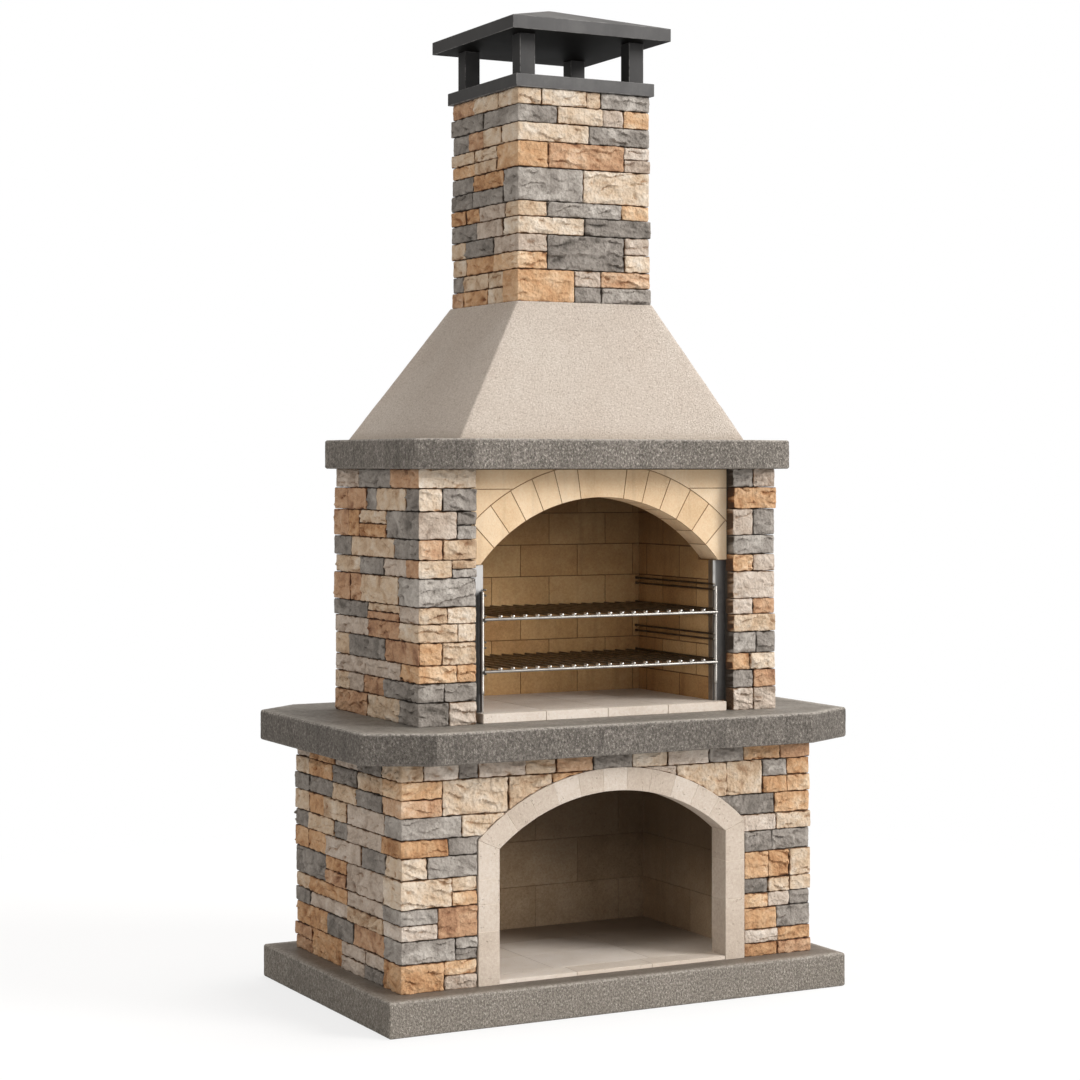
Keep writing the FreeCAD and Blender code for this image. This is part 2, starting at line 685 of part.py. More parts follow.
def jamb_angle(label, side):
    # Steel angle over the front edge of the firebrick lining.
    body = new_body(label)
    outer = "mouth_width / 2"
    inner = "angle_inner"
    back = "lining_front + angle_return"
    corners = [(outer, "angle_front"), (inner, "angle_front"), (inner, back), ("lining_half", back),
               ("lining_half", "lining_front"), (outer, "lining_front")]
    plan = [(f"fire_offset + {side} * ( {x} )", y) for x, y in corners]
    sketch = outline(body, label + "_outline", plan, "hearth_top")
    pad(body, sketch, "arch_spring - arch_joint - hearth_top")


def rack(side, hand):
    x = f"fire_offset + {hand} * post_reach"
    foot = slim_bar(f"{side}_foot", "z", "foot_diameter", "foot_height", x, "post_line", "hearth_top")
    post = slim_bar(f"{side}_post", "z", "post_diameter", "post_height - foot_height", x, "post_line",
                    "hearth_top + foot_height")
    joined = doc.addObject("Part::Fuse", f"{side}_rack_post")
    joined.Base = foot
    joined.Tool = post
    keep(f"{side}_rack_post", joined)
    x = f"fire_offset + {hand} * runner_reach"
    start = "post_line - post_diameter / 2"
    length = "lining_back + runner_embed - post_line + post_diameter / 2"
    runners = []
    for level in range(RACK_LEVELS):
        for name, offset in (("low", "- runner_drop"), ("high", "+ runner_lift")):
            z = f"hearth_top + level_first + {level} * level_step {offset}"
            runners.append(slim_bar(f"{side}_{name}_{level}", "y", "runner_diameter", length, x, start, z))
    group(f"{side}_rack_runners", runners)


def grill(name):
    level = f"{name}_grill_level"
    left = "fire_offset - side_bar_reach"
    span = "back_bar_line - front_bar_line"
    front = slim_bar(f"{name}_front_bar", "x", "bar_diameter", "2 * post_reach",
                     "fire_offset - post_reach", "front_bar_line", level)
    back = slim_bar(f"{name}_back_bar", "x", "bar_diameter", "2 * side_bar_reach - side_bar_diameter / 2",
                    f"{left} + side_bar_diameter / 4", "back_bar_line", level)
    sides = []
    for hand in (-1, 1):
        sides.append(slim_bar(f"{name}_side_bar_{hand + 1}", "y", "side_bar_diameter", span,
                              f"fire_offset + {hand} * side_bar_reach", "front_bar_line", level))
    frame = doc.addObject("Part::MultiFuse", f"{name}_grill_frame")
    frame.Shapes = [front, back] + sides
    keep(f"{name}_grill_frame", frame)
    rods = []
    length = f"{span} + rod_overhang + bar_diameter / 2"
    y = "front_bar_line - rod_overhang"
    z = f"{level} + bar_diameter / 2 + rod_diameter / 2"
    for i in range(GRILL_RODS):
        x = f"{left} + 2 * side_bar_reach * {i + 1} / {GRILL_RODS + 1}"
        rods.append(slim_bar(f"{name}_rod_{i}", "y", "rod_diameter", length, x, y, z))
    group(f"{name}_grill_rods", rods)


def chimney_flue():
    levels = ("hood_top", "chimney_top")
    outer = block("flue_outer", ("0 - flue_half", "flue_half"),
                  ("chimney_middle - flue_half", "chimney_middle + flue_half"), levels)
    inner = block("flue_inner", ("0 - flue_width / 2", "flue_width / 2"),
                  ("chimney_middle - flue_width / 2", "chimney_middle + flue_width / 2"), levels)
    keep("chimney_flue", cut("flue", outer, inner))


def cowl():
    levels = ("chimney_top", "collar_top")
    outer = block("collar_outer", ("0 - collar_width / 2", "collar_width / 2"),
                  ("chimney_middle - collar_width / 2", "chimney_middle + collar_width / 2"), levels)
    inner = block("collar_inner", ("0 - flue_width / 2", "flue_width / 2"),
                  ("chimney_middle - flue_width / 2", "chimney_middle + flue_width / 2"), levels)
    keep("cowl_collar", cut("collar", outer, inner))
    stays = []
    reach = "( collar_width / 2 - stay_inset )"
    for across in (-1, 1):
        for along in (-1, 1):
            x = f"{across} * ( {reach} - stay_size / 2 )"
            y = f"chimney_middle + {along} * ( {reach} - stay_size / 2 )"
            sides = (f"{x} - stay_size / 2", f"{x} + stay_size / 2")
            ends = (f"{y} - stay_size / 2", f"{y} + stay_size / 2")
            stays.append(block(f"stay_{across + 1}_{along + 1}", sides, ends, ("collar_top", "stay_top")))
    group("cowl_posts", stays)
    cowl_roof()
    keep("cowl_soffit", block("soffit", *cap_plan("cap_sheet"), ("stay_top", "stay_top + cap_sheet")))


def cap_plan(inset):
    across = (f"{inset} - cap_width / 2", f"cap_width / 2 - {inset}")
    along = (f"chimney_middle - cap_depth / 2 + {inset}", f"chimney_middle + cap_depth / 2 - {inset}")
    return across, along


def cap_solid(name, inset, top, rise):
    # Skirt and shallow hips as one block, cut off at a small flat tip.
    across, along = cap_plan(inset)
    tip = ("0 - cap_tip / 2", "cap_tip / 2", "chimney_middle - cap_tip / 2", "chimney_middle + cap_tip / 2")
    joined = doc.addObject("Part::Fuse", name)
    joined.Base = block(name + "_skirt", across, along, ("stay_top", top))
    joined.Tool = frustum(name + "_hip", across + along, tip, top, rise)
    return joined


def cowl_roof():
    # Folded sheet: skirt and shallow hips, hollow inside.
    outside = cap_solid("cap_outside", "0", "skirt_top", "cap_rise")
    inside = cap_solid("cap_inside", "cap_sheet", "skirt_top - cap_sheet", "cap_rise - cap_sheet")
    keep("cowl_roof", cut("cap", outside, inside))


def read_course(text):
    # Turn "or13 b21" into a list of (tones, length).
    columns = []
    for word in text.split():
        tones = word.rstrip("0123456789")
        columns.append((tones, float(word[len(tones):])))
    return columns


def mirrored(wall):
    # The other side of the house: the same courses turned round, in other tones.
    return tuple(
        " ".join("".join(NEXT_TONE[letter] for letter in tones) + f"{length:.0f}"
                 for tones, length in reversed(read_course(course)))
        for course in wall
    )


def joined_walls(first, second):
    # Two runs of stones side by side. Every other course drops a stone, so that no joint runs up the middle.
    courses = []
    for row, (left, right) in enumerate(zip(first, second)):
        stones = left.split()
        kept = stones[:-1] if row % 2 else stones
        courses.append(" ".join(kept) + " " + right)
    return tuple(courses)


class Facing:
    """Facing stones in level courses round a plan of right-angled corners."""

    def __init__(self, plan, closed, level, height, courses):
        self.plan = plan
        self.closed = closed
        self.thickness = size("stone_thickness")
        self.joint = size("stone_joint")
        self.relief = size("stone_relief")
        self.level = level
        self.height = height
        self.courses = courses
        self.count = 0
        self.solids = {letter: [] for letter in TONES}
        self.walls = len(plan) if closed else len(plan) - 1

    def frame(self, wall):
        start = self.plan[wall]
        end = self.plan[(wall + 1) % len(self.plan)]
        along = (end - start).normalize()
        out = Vector(along.y, -along.x, 0)
        return start, along, out, (end - start).Length

    def next_relief(self):
        # Each stone stands back from the face line by its own small amount.
        self.count += 1
        return -self.relief * ((self.count * 0.618) % 1.0)

    def add(self, tone, points, low, high):
        points = [Vector(point.x, point.y, low) for point in points]
        self.solids[tone].append(prism(points, Vector(0, 0, high - low)))

    def stack(self, tones, points_for, low, high):
        # Stones one above the other in a column.
        step = (high - low + self.joint) / len(tones)
        for i, tone in enumerate(tones):
            top = high - step * i
            self.add(tone, points_for(self.next_relief()), top - step + self.joint, top)

    def face_points(self, wall, near, far, relief):
        start, along, out, length = self.frame(wall)
        return [start + along * near + out * relief, start + along * far + out * relief,
                start + along * far - out * self.thickness, start + along * near - out * self.thickness]

    def mitre_points(self, wall, near, far, relief, at_start):
        # A stone whose end is cut on the mitre of its corner.
        points = self.face_points(wall, near, far, relief)
        along = self.frame(wall)[1]
        half = self.joint / 2
        if at_start:
            points[0] = points[0] + along * (half - relief)
            points[3] = points[3] + along * (half + self.thickness)
        else:
            points[1] = points[1] - along * (half - relief)
            points[2] = points[2] - along * (half + self.thickness)
        return points

    def corner_points(self, wall, near, following, far, relief):
        # One stone round the corner from a wall to the wall that follows it.
        start, along, out, length = self.frame(wall)
        corner, along_next, out_next, _ = self.frame(following)
        inner = corner - (out + out_next) * self.thickness
        outer = corner + (out + out_next) * relief
        return [start + along * near + out * relief, outer, corner + along_next * far + out_next * relief,
                corner + along_next * far - out_next * self.thickness, inner,
                start + along * near - out * self.thickness]

    def spans(self, wall, text, gap):
        # Columns of one course on one wall: (tones, near, far), fitted to the wall's length.
        length = self.frame(wall)[3]
        parts = [read_course(part) for part in text.split("|")]
        ends = [(0, length)]
        if len(parts) == 2:
            ends = [(0, length / 2 - gap), (length / 2 + gap, length)]
        placed = []
        for columns, (near, far) in zip(parts, ends):
            scale = (far - near) / sum(column[1] for column in columns)
            for tones, share in columns:
                placed.append([tones, near, near + share * scale])
                near += share * scale
        return placed

    def lay(self, walls, gap_at=None, hidden=()):
        # Lay all courses, top first. Hidden walls take the tones of their neighbours at corners.
        scale = self.height / sum(self.courses)
        top = self.level + self.height
        last = len(self.courses) - 1
        for row, course in enumerate(self.courses):
            low = top - course * scale
            gap = gap_at(top) if gap_at else 0
            rows = [self.spans(wall, walls[wall][row], gap) for wall in range(self.walls)]
            bed = (low if row == last else low + self.joint / 2, top if row == 0 else top - self.joint / 2)
            self.lay_course(rows, bed, hidden)
            top = low

    def lay_course(self, rows, bed, hidden):
        taken = set()
        half = self.joint / 2
        corners = range(self.walls) if self.closed else range(self.walls - 1)
        for wall in corners:
            following = (wall + 1) % self.walls
            before = rows[wall][-1]
            after = rows[following][0]
            tones = before[0]
            if following not in hidden and wall in hidden:
                tones = after[0]
            near = before[1] + half
            far = after[2] - half
            if before[0] == after[0] or wall in hidden or following in hidden:
                self.stack(tones, lambda relief: self.corner_points(wall, near, following, far, relief), *bed)
            else:
                end = before[2]
                self.stack(before[0], lambda relief: self.mitre_points(wall, near, end, relief, False), *bed)
                self.stack(after[0], lambda relief: self.mitre_points(following, 0, far, relief, True), *bed)
            taken.add((wall, len(rows[wall]) - 1))
            taken.add((following, 0))
        for wall, columns in enumerate(rows):
            for i, (tones, near, far) in enumerate(columns):
                if (wall, i) in taken:
                    continue
                left = near if i == 0 else near + half
                right = far if i == len(columns) - 1 else far - half
                self.stack(tones, lambda relief: self.face_points(wall, left, right, relief), *bed)

    def trim(self, void):
        # Cut the stones to an opening and leave out the splinters.
        box = void.BoundBox
        for tone, stones in self.solids.items():
            kept = []
            for stone in stones:
                if not stone.BoundBox.intersect(box):
                    kept.append(stone)
                    continue
                kept += [solid for solid in stone.cut(void).Solids if solid.Volume > SMALLEST_STONE]
            self.solids[tone] = kept

    def write(self, module):
        for letter, name in TONES.items():
            shaped(f"{module}_stones_{name}", self.solids[letter])


def ring(half, front, back):
    return [Vector(-half, front, 0), Vector(half, front, 0), Vector(half, back, 0), Vector(-half, back, 0)]


def body_facing():
    half = size("body_width") / 2
    plan = ring(half, -size("body_front"), size("body_back"))
    facing = Facing(plan, True, size("base_height"), size("body_height"), BODY_COURSES)
    radius = size("log_radius") + size("log_ring") + size("arch_joint")
    centre = size("log_centre")
    outer = size("log_outer") + size("arch_joint")

    def half_gap(level):
        rise = level - centre
        if level <= size("log_outer_spring"):
            return outer
        return math.sqrt(max(radius * radius - rise * rise, 0))

    right = mirrored(BODY_LEFT)
    back = joined_walls(BODY_LEFT, right)
    facing.lay([BODY_FRONT, right, back, BODY_LEFT], half_gap, hidden=(1, 2))
    front = -size("body_front") - size("stone_thickness")
    depth = 2 * size("stone_thickness")
    spring = size("log_outer_spring")
    curve = Part.makeCylinder(radius, depth, Vector(0, front, centre), Vector(0, 1, 0))
    above = Part.makeBox(2 * radius, depth, 2 * radius, Vector(-radius, front, spring))
    foot = size("base_height")
    mouth = Part.makeBox(2 * outer, depth, spring - foot, Vector(-outer, front, foot))
    facing.trim(curve.common(above).fuse(mouth))
    facing.write("base")


def fire_facing():
    half = size("fire_width") / 2
    front = -size("fire_front")
    back = size("fire_back")
    plan = [Vector(size("mouth_right"), front, 0), Vector(half, front, 0), Vector(half, back, 0),
            Vector(-half, back, 0), Vector(-half, front, 0), Vector(size("mouth_left"), front, 0)]
    facing = Facing(plan, False, size("worktop_top"), size("fire_height"), FIRE_COURSES)
    right = mirrored(FIRE_LEFT)
    back_wall = joined_walls(right, FIRE_LEFT)
    facing.lay([RIGHT_PIER, right, back_wall, FIRE_LEFT, LEFT_PIER], hidden=(1, 2))
    facing.write("fire")


def chimney_facing():
    half = size("chimney_width") / 2
    middle = size("chimney_middle")
    facing = Facing(ring(half, middle - half, middle + half), True, size("hood_top"),
                    size("chimney_height"), CHIMNEY_COURSES)
    facing.lay([CHIMNEY_FRONT, mirrored(CHIMNEY_LEFT), mirrored(CHIMNEY_FRONT), CHIMNEY_LEFT], hidden=(1, 2))
    facing.write("chimney")


def write_parts():
    doc.recompute()
    for item in doc.Objects:
        if "Invalid" in item.State or "Error" in item.State:
            raise RuntimeError(f"{item.Label} did not recompute: {item.State}")
    for label, item in PARTS.items():
        shape = item.Shape
        if shape.isNull() or not shape.isValid() or not shape.Solids:
            raise RuntimeError(f"{label} has no sound shape")
        shape.exportStep(f"parts/{label}.step")


fill_sheet()
base_slab()
log_store_walls()
log_floor()
log_lining()
log_arch()
body_facing()
worktop()
hearth()
firebox_walls()
firebricks()
fire_arch()
jamb_angle("left_jamb_angle", -1)
jamb_angle("right_jamb_angle", 1)
fire_facing()
rack("left", -1)
rack("right", 1)
grill("lower")
grill("upper")
mantel()
hood()
chimney_flue()
chimney_facing()
cowl()
write_parts()
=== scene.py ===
import bmesh
import bpy
import math
import random
import numpy as np
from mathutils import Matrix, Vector, noise
from mathutils.geometry import convex_hull_2d, delaunay_2d_cdt


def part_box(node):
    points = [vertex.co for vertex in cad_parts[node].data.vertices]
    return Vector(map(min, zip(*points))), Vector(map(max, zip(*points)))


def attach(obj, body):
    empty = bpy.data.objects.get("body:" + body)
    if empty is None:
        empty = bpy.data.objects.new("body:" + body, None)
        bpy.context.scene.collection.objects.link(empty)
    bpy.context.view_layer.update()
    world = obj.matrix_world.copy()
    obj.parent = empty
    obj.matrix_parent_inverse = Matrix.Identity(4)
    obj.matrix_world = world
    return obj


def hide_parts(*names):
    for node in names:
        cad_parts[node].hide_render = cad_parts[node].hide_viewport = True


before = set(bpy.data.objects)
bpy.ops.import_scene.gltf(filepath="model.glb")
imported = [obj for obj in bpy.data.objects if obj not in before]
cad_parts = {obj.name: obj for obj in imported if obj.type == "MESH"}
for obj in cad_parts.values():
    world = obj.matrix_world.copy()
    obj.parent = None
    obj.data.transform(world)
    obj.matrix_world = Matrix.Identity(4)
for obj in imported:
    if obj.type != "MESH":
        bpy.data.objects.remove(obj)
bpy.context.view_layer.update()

MM = 0.001
UP = np.array((0.0, 0.0, 1.0))
MASONRY = "masonry"

# noise_vector takes its offsets from this seed, or else from the clock.
noise.seed_set(7)


def srgb(red, green, blue):
    """Linear colour of an sRGB triple in 0..255."""
    channels = []
    for value in (red / 255, green / 255, blue / 255):
        channels.append(value / 12.92 if value <= 0.04045 else ((value + 0.055) / 1.055) ** 2.4)
    return (*channels, 1.0)


def shades(*triples):
    """Linear colours of several sRGB triples."""
    return [srgb(*triple) for triple in triples]


# Patterns laid over a colour run between a dark and a light end.
GRAIN = (0.30, 0.28, 0.26, 1.0), (0.74, 0.74, 0.73, 1.0)
BLOTCHES = (0.22, 0.215, 0.21, 1.0), (0.70, 0.70, 0.69, 1.0)
TROWEL_MARKS = (0.36, 0.36, 0.35, 1.0), (0.60, 0.60, 0.60, 1.0)
FAINT_CLOUDS = (0.43, 0.42, 0.41, 1.0), (0.56, 0.56, 0.56, 1.0)
DRAWING_LINES = (0.35, 0.35, 0.35, 1.0), (0.65, 0.65, 0.65, 1.0)
PAINT_LINES = (0.4, 0.4, 0.4, 1.0), (0.6, 0.6, 0.6, 1.0)
# dark brown of the stone joints and of the rims where they round off
JOINT_DARK = srgb(58, 46, 36)
# brown of smoke in the firebox, also painted shade in the log store
SMOKE_AND_SHADE = srgb(74, 54, 32)
# black of the painted shadow on the steel plates
SHADOW_BLACK = (0.02, 0.018, 0.016, 1.0)

# Levels and places, in metres, from which a look fades in to where it is full.
BASE_LEVEL = 0.4, 0.2
ABOVE_BASE, BELOW_MANTEL = (0.3, 0.6), (1.2, 0.9)
HOOD_FOOT = 1.675, 1.643
# span over which painted shade grows towards the right
RIGHT_SIDE = -0.20, 0.42
FIREBOX_SMOKE = 0.95, 1.7
# top of the log store: painted shade
LOG_STORE_TOP_SHADE = 0.14, 0.58
LOG_FLOOR_SHADE = -0.15, 0.30
LEFT_PLATE, PLATE_FOOT, RIGHT_PLATE = (-0.380, -0.386), (1.215, 1.190), (0.409, 0.413)


class Nodes:
    """A node tree, written as short calls."""

    def __init__(self, tree):
        self.tree = tree

    def put(self, socket, value):
        if isinstance(value, bpy.types.NodeSocket):
            self.tree.links.new(value, socket)
        else:
            socket.default_value = value

    def node(self, kind, inputs=None, **settings):
        item = self.tree.nodes.new("ShaderNode" + kind)
        for key, value in settings.items():
            setattr(item, key, value)
        for key, value in (inputs or {}).items():
            self.put(item.inputs[key], value)
        return item

    def maths(self, operation, first, second):
        return self.node("Math", {0: first, 1: second}, operation=operation).outputs[0]

    def either_ray(self, *kinds):
        """1 for rays of these two kinds, else 0."""
        path = self.node("LightPath").outputs
        return self.maths("MAXIMUM", *(path[f"Is {kind} Ray"] for kind in kinds))

    def blend(self, share, first, second, output):
        """The output shows the first shader, or the second one by its share."""
        item = self.node("MixShader", {0: share, 1: first, 2: second})
        self.put(self.tree.nodes[output].inputs["Surface"], item.outputs[0])


class Finish(Nodes):
    """A procedural material."""

    def __init__(self, name):
        self.material = bpy.data.materials.new(name)
        self.material.use_nodes = True
        super().__init__(self.material.node_tree)
        self.shader = self.tree.nodes["Principled BSDF"]
        self.place = self.node("TexCoord").outputs["Object"]

    def times(self, first, second):
        return self.maths("MULTIPLY", first, second)

    def plus(self, first, second):
        return self.maths("ADD", first, second)

    def less(self, first, second):
        return self.maths("SUBTRACT", first, second)

    def noise(self, scale, detail=4.0, rough=0.55, place=None, distort=0.0):
        inputs = {"Vector": place or self.place, "Scale": scale, "Detail": detail,
                  "Roughness": rough, "Distortion": distort}
        return self.node("TexNoise", inputs).outputs["Fac"]

    def cells(self, scale, place=None):
        inputs = {"Vector": place or self.place, "Scale": scale}
        return self.node("TexVoronoi", inputs).outputs["Distance"]

    def moved(self, place, shift, *factors):
        """The place moved by a shift, which is taken times the factors."""
        inputs = {0: shift, 1: factors, 2: place}
        return self.node("VectorMath", inputs, operation="MULTIPLY_ADD").outputs[0]

    def warped(self, place, scale, reach):
        """The place moved by noise, so that cells lose their even outline."""
        inputs = {"Vector": place, "Scale": scale, "Detail": 2.0}
        shift = self.node("TexNoise", inputs).outputs["Color"]
        return self.moved(place, shift, reach, reach, reach)

    def stretch(self, *factors):
        inputs = {0: self.place, 1: factors}
        return self.node("VectorMath", inputs, operation="MULTIPLY").outputs[0]

    def step(self, value, low, high):
        """0 up to low, 1 from high on, smooth between; low may be the greater of the two."""
        inputs = {"Value": value, "From Min": low, "From Max": high}
        return self.node("MapRange", inputs, interpolation_type="SMOOTHSTEP").outputs["Result"]

    def attribute(self, name, output="Fac"):
        return self.node("Attribute", attribute_name=name).outputs[output]

    def axes(self, vector=None):
        """X, Y and Z of a vector, or else of the place."""
        return self.node("SeparateXYZ", {"Vector": vector or self.place}).outputs

    def normals(self):
        return self.axes(self.node("NewGeometry").outputs["Normal"])

    def ramp(self, factor, *stops):
        item = self.node("ValToRGB", {"Fac": factor})
        elements = item.color_ramp.elements
        while len(elements) < len(stops):
            elements.new(0.5)
        for element, (position, colour) in zip(elements, stops):
            element.position = position
            element.color = colour
        return item.outputs["Color"]

    def mix(self, factor, first, second, blend="MIX"):
        inputs = {0: factor, 6: first, 7: second}
        return self.node("Mix", inputs, data_type="RGBA", blend_type=blend).outputs[2]

    def toward(self, colour, other, share, most):
        """The colour mixed with another one by a share, which is taken times its most."""
        return self.mix(self.times(share, most), colour, other)

    def overlaid(self, colour, share, pattern, low=0.3, high=0.72, ends=GRAIN):
        """The colour under a pattern, which is dark at its low and light at its high values."""
        cover = self.ramp(pattern, (low, ends[0]), (high, ends[1]))
        return self.mix(share, colour, cover, "OVERLAY")

    def bump(self, height, distance, normal=None):
        inputs = {"Height": height, "Distance": distance, "Strength": 1.0}
        if normal:
            inputs["Normal"] = normal
        return self.node("Bump", inputs).outputs["Normal"]

    def done(self, colour, rough, normal, metal=0.0):
        values = {"Base Color": colour, "Roughness": rough, "Normal": normal, "Metallic": metal}
        for key, value in values.items():
            self.put(self.shader.inputs[key], value)
        return self.material


def stone_finish(name, deep, low, high, light, hollow_colour):
    """Split stone: mottled from stone to stone and within it, with a painted highlight on ridges,
    painted shade under ledges, hollows darkened by dirt and painted shade, and dark joints and
    rims.
    """
    m = Finish(name)
    place = m.moved(m.place, m.attribute("tint", "Vector"), 17.0, 29.0, 11.0)
    # painted light of the relief: above 0.5 a painted highlight, below it painted shade and dirt,
    # lowest at the rims and joints
    lift = m.attribute("lift")
    patch = m.noise(13.0, 6.0, 0.65, place, 0.8)
    patch = m.plus(patch, m.times(m.less(m.attribute("tint"), 0.5), 0.21))
    patch = m.plus(patch, m.times(m.less(lift, 0.5), 0.15))
    colour = m.ramp(patch, (0.24, deep), (0.41, low), (0.57, high), (0.76, light))
    stain = m.step(m.noise(30.0, 6.0, 0.7, place, 1.4), 0.56, 0.76)
    colour = m.toward(colour, deep, stain, 0.22)
    grain = m.noise(210.0, 4.0, 0.75, place)
    colour = m.overlaid(colour, 0.30, grain)
    # hollows take the hollow colour: dirt and painted shade
    hollow = m.step(lift, 0.34, 0.0)
    colour = m.mix(hollow, colour, m.mix(1.0, colour, hollow_colour, "MULTIPLY"))
    # rims and joints darkest
    colour = m.toward(colour, JOINT_DARK, m.step(lift, 0.09, 0.0), 0.75)
    rough = m.plus(m.times(grain, 0.22), 0.74)
    flakes = m.maths("POWER", m.cells(105.0, m.warped(place, 60.0, 0.006)), 2.0)
    normal = m.bump(flakes, 3.4 * MM)
    normal = m.bump(m.noise(64.0, 8.0, 0.70, place, 0.8), 5.4 * MM, normal)
    normal = m.bump(grain, 0.9 * MM, normal)
    return m.done(colour, rough, normal)


def concrete_finish():
    """Dark cast concrete: granular sides, trowelled tops, pale edges of wear and painted highlight,
    painted shade on left and cut faces; paler sides and a darker, browner top at the base.
    """
    m = Finish("slab_concrete")
    turned = m.normals()
    top = m.step(turned["Z"], 0.6, 0.95)
    upright = m.less(1.0, top)
    cloud = m.noise(6.0, 6.0, 0.62)
    grain = m.noise(185.0, 5.0, 0.82, m.stretch(1.0, 1.0, 0.7))
    side = m.ramp(grain, (0.30, srgb(52, 49, 46)), (0.45, srgb(114, 109, 103)),
                  (0.56, srgb(146, 140, 134)), (0.69, srgb(222, 216, 208)))
    flat = m.ramp(m.noise(90.0, 6.0, 0.75), (0.30, srgb(102, 97, 91)),
                  (0.52, srgb(132, 127, 120)), (0.76, srgb(167, 161, 154)))
    colour = m.overlaid(m.mix(top, side, flat), 0.6, cloud, 0.32, 0.66, TROWEL_MARKS)
    drips = m.noise(34.0, 4.0, 0.6, m.stretch(1.0, 1.0, 0.10))
    colour = m.toward(colour, srgb(70, 66, 61), m.step(drips, 0.5, 0.75), 0.35)
    level = m.axes()["Z"]
    used = m.times(m.step(level, *BELOW_MANTEL), m.step(level, *ABOVE_BASE))
    colour = m.toward(colour, srgb(66, 62, 58), used, m.less(0.31, m.times(top, 0.29)))
    foot = m.step(level, *BASE_LEVEL)
    above = m.less(1.0, foot)
    # painted shade on faces turned to the left and on the cut corners, above the base
    left = m.times(m.step(turned["X"], -0.10, -0.22), m.step(turned["X"], -1.2, -0.5))
    colour = m.toward(colour, srgb(58, 54, 50), m.times(left, above), 0.3)
    rugged = m.times(m.times(above, upright), 0.35)
    colour = m.overlaid(colour, rugged, m.noise(95.0, 4.0, 0.7), 0.40, 0.60, BLOTCHES)
    # the base slab's top darker and browner: dust and painted shade under the worktop
    foot_colour = m.mix(top, srgb(141, 136, 129), srgb(104, 91, 78))
    colour = m.toward(colour, foot_colour, foot, 0.5)
    colour = m.overlaid(colour, m.times(m.times(foot, upright), 0.7), grain, 0.38, 0.62)
    # pale arrises: wear and painted highlight
    worn = m.times(m.attribute("worn"), m.step(m.noise(110.0, 5.0, 0.75), 0.38, 0.62))
    colour = m.toward(colour, srgb(190, 184, 176), worn, 0.7)
    rough = m.less(0.92, m.times(top, m.times(cloud, 0.7)))
    calm = m.less(1.0, m.times(top, 0.85))
    lumps = m.cells(170.0, m.warped(m.place, 120.0, 0.003))
    normal = m.bump(m.times(grain, calm), 4.6 * MM)
    normal = m.bump(m.times(lumps, calm), 1.8 * MM, normal)
    return m.done(colour, rough, normal)


def render_finish():
    """Pale sandy render with fine grains, faint cloudy trowel marks and a darker foot."""
    m = Finish("hood_render")
    sand = m.noise(190.0, 5.0, 0.8)
    colour = m.ramp(sand, (0.28, srgb(140, 127, 115)), (0.46, srgb(196, 185, 174)),
                    (0.57, srgb(207, 197, 187)), (0.74, srgb(233, 226, 218)))
    colour = m.overlaid(colour, 0.4, m.noise(5.0, 5.0, 0.6), 0.3, 0.7, FAINT_CLOUDS)
    # darker towards the foot of the hood
    foot = m.step(m.axes()["Z"], *HOOD_FOOT)
    colour = m.toward(colour, srgb(160, 146, 130), foot, 0.35)
    return m.done(colour, 0.93, m.bump(sand, 4.2 * MM))


def block_finish(name, tones, joint, seam=0.9, streak=0.0, pit=0.0, grain_scale=150.0, rough=0.88,
                 mottle=0.34, shaded=None, mortar=None, smoke_and_shade=None, corner=0.0):
    """Cut or cast blocks: a tint of its own for each block, joints, grain, streaks, a painted
    shadow where shaded, smoke at the top of the firebox, and painted shade at the top of the log
    store and towards the right.
    """
    m = Finish(name)
    low, middle, high = shades(*tones)
    joint = srgb(*joint)
    tone = m.plus(m.times(m.noise(9.0, 5.0, 0.6), 0.65), m.times(m.attribute("tint"), 0.35))
    colour = m.ramp(tone, (0.28, low), (0.5, middle), (0.72, high))
    grain = m.noise(grain_scale, 5.0, 0.8)
    colour = m.overlaid(colour, mottle, grain)
    # painted shadow across the floor, deeper to the back and right, and painted shade on faces not
    # turned up
    if shaded:
        spot = m.axes()
        depth = m.plus(spot["Y"], m.times(spot["X"], 0.4))
        side = m.times(m.step(m.normals()["Z"], 0.6, 0.3), 0.3)
        colour = m.toward(colour, joint, m.maths("MAXIMUM", side, m.step(depth, *shaded)), 0.75)
    if streak:
        lines = m.noise(30.0, 4.0, 0.6, m.stretch(1.0, 1.0, 0.09))
        colour = m.toward(colour, joint, m.step(lines, 0.5, 0.75), streak)
    height = grain
    if pit:
        spread = m.step(m.noise(40.0, 2.0), 0.48, 0.6)
        holes = m.times(m.step(m.cells(110.0), 0.24, 0.08), spread)
        colour = m.toward(colour, joint, holes, pit)
        height = m.less(grain, m.times(holes, 1.4))
    # smoke at the top of the firebox; at the top of the log store painted shade
    if smoke_and_shade:
        spot = m.axes()
        haze = m.plus(m.times(m.noise(4.0, 5.0, 0.6), 0.5), m.step(spot["Z"], *smoke_and_shade))
        # painted shade towards the right side, weighed by corner
        haze = m.plus(haze, m.times(m.step(spot["X"], *RIGHT_SIDE), corner))
        colour = m.toward(colour, SMOKE_AND_SHADE, m.step(haze, 0.3, 1.3), 0.75)
    seam_colour = srgb(*mortar) if mortar else joint
    colour = m.toward(colour, seam_colour, m.attribute("edge"), seam)
    return m.done(colour, rough, m.bump(height, 1.8 * MM))


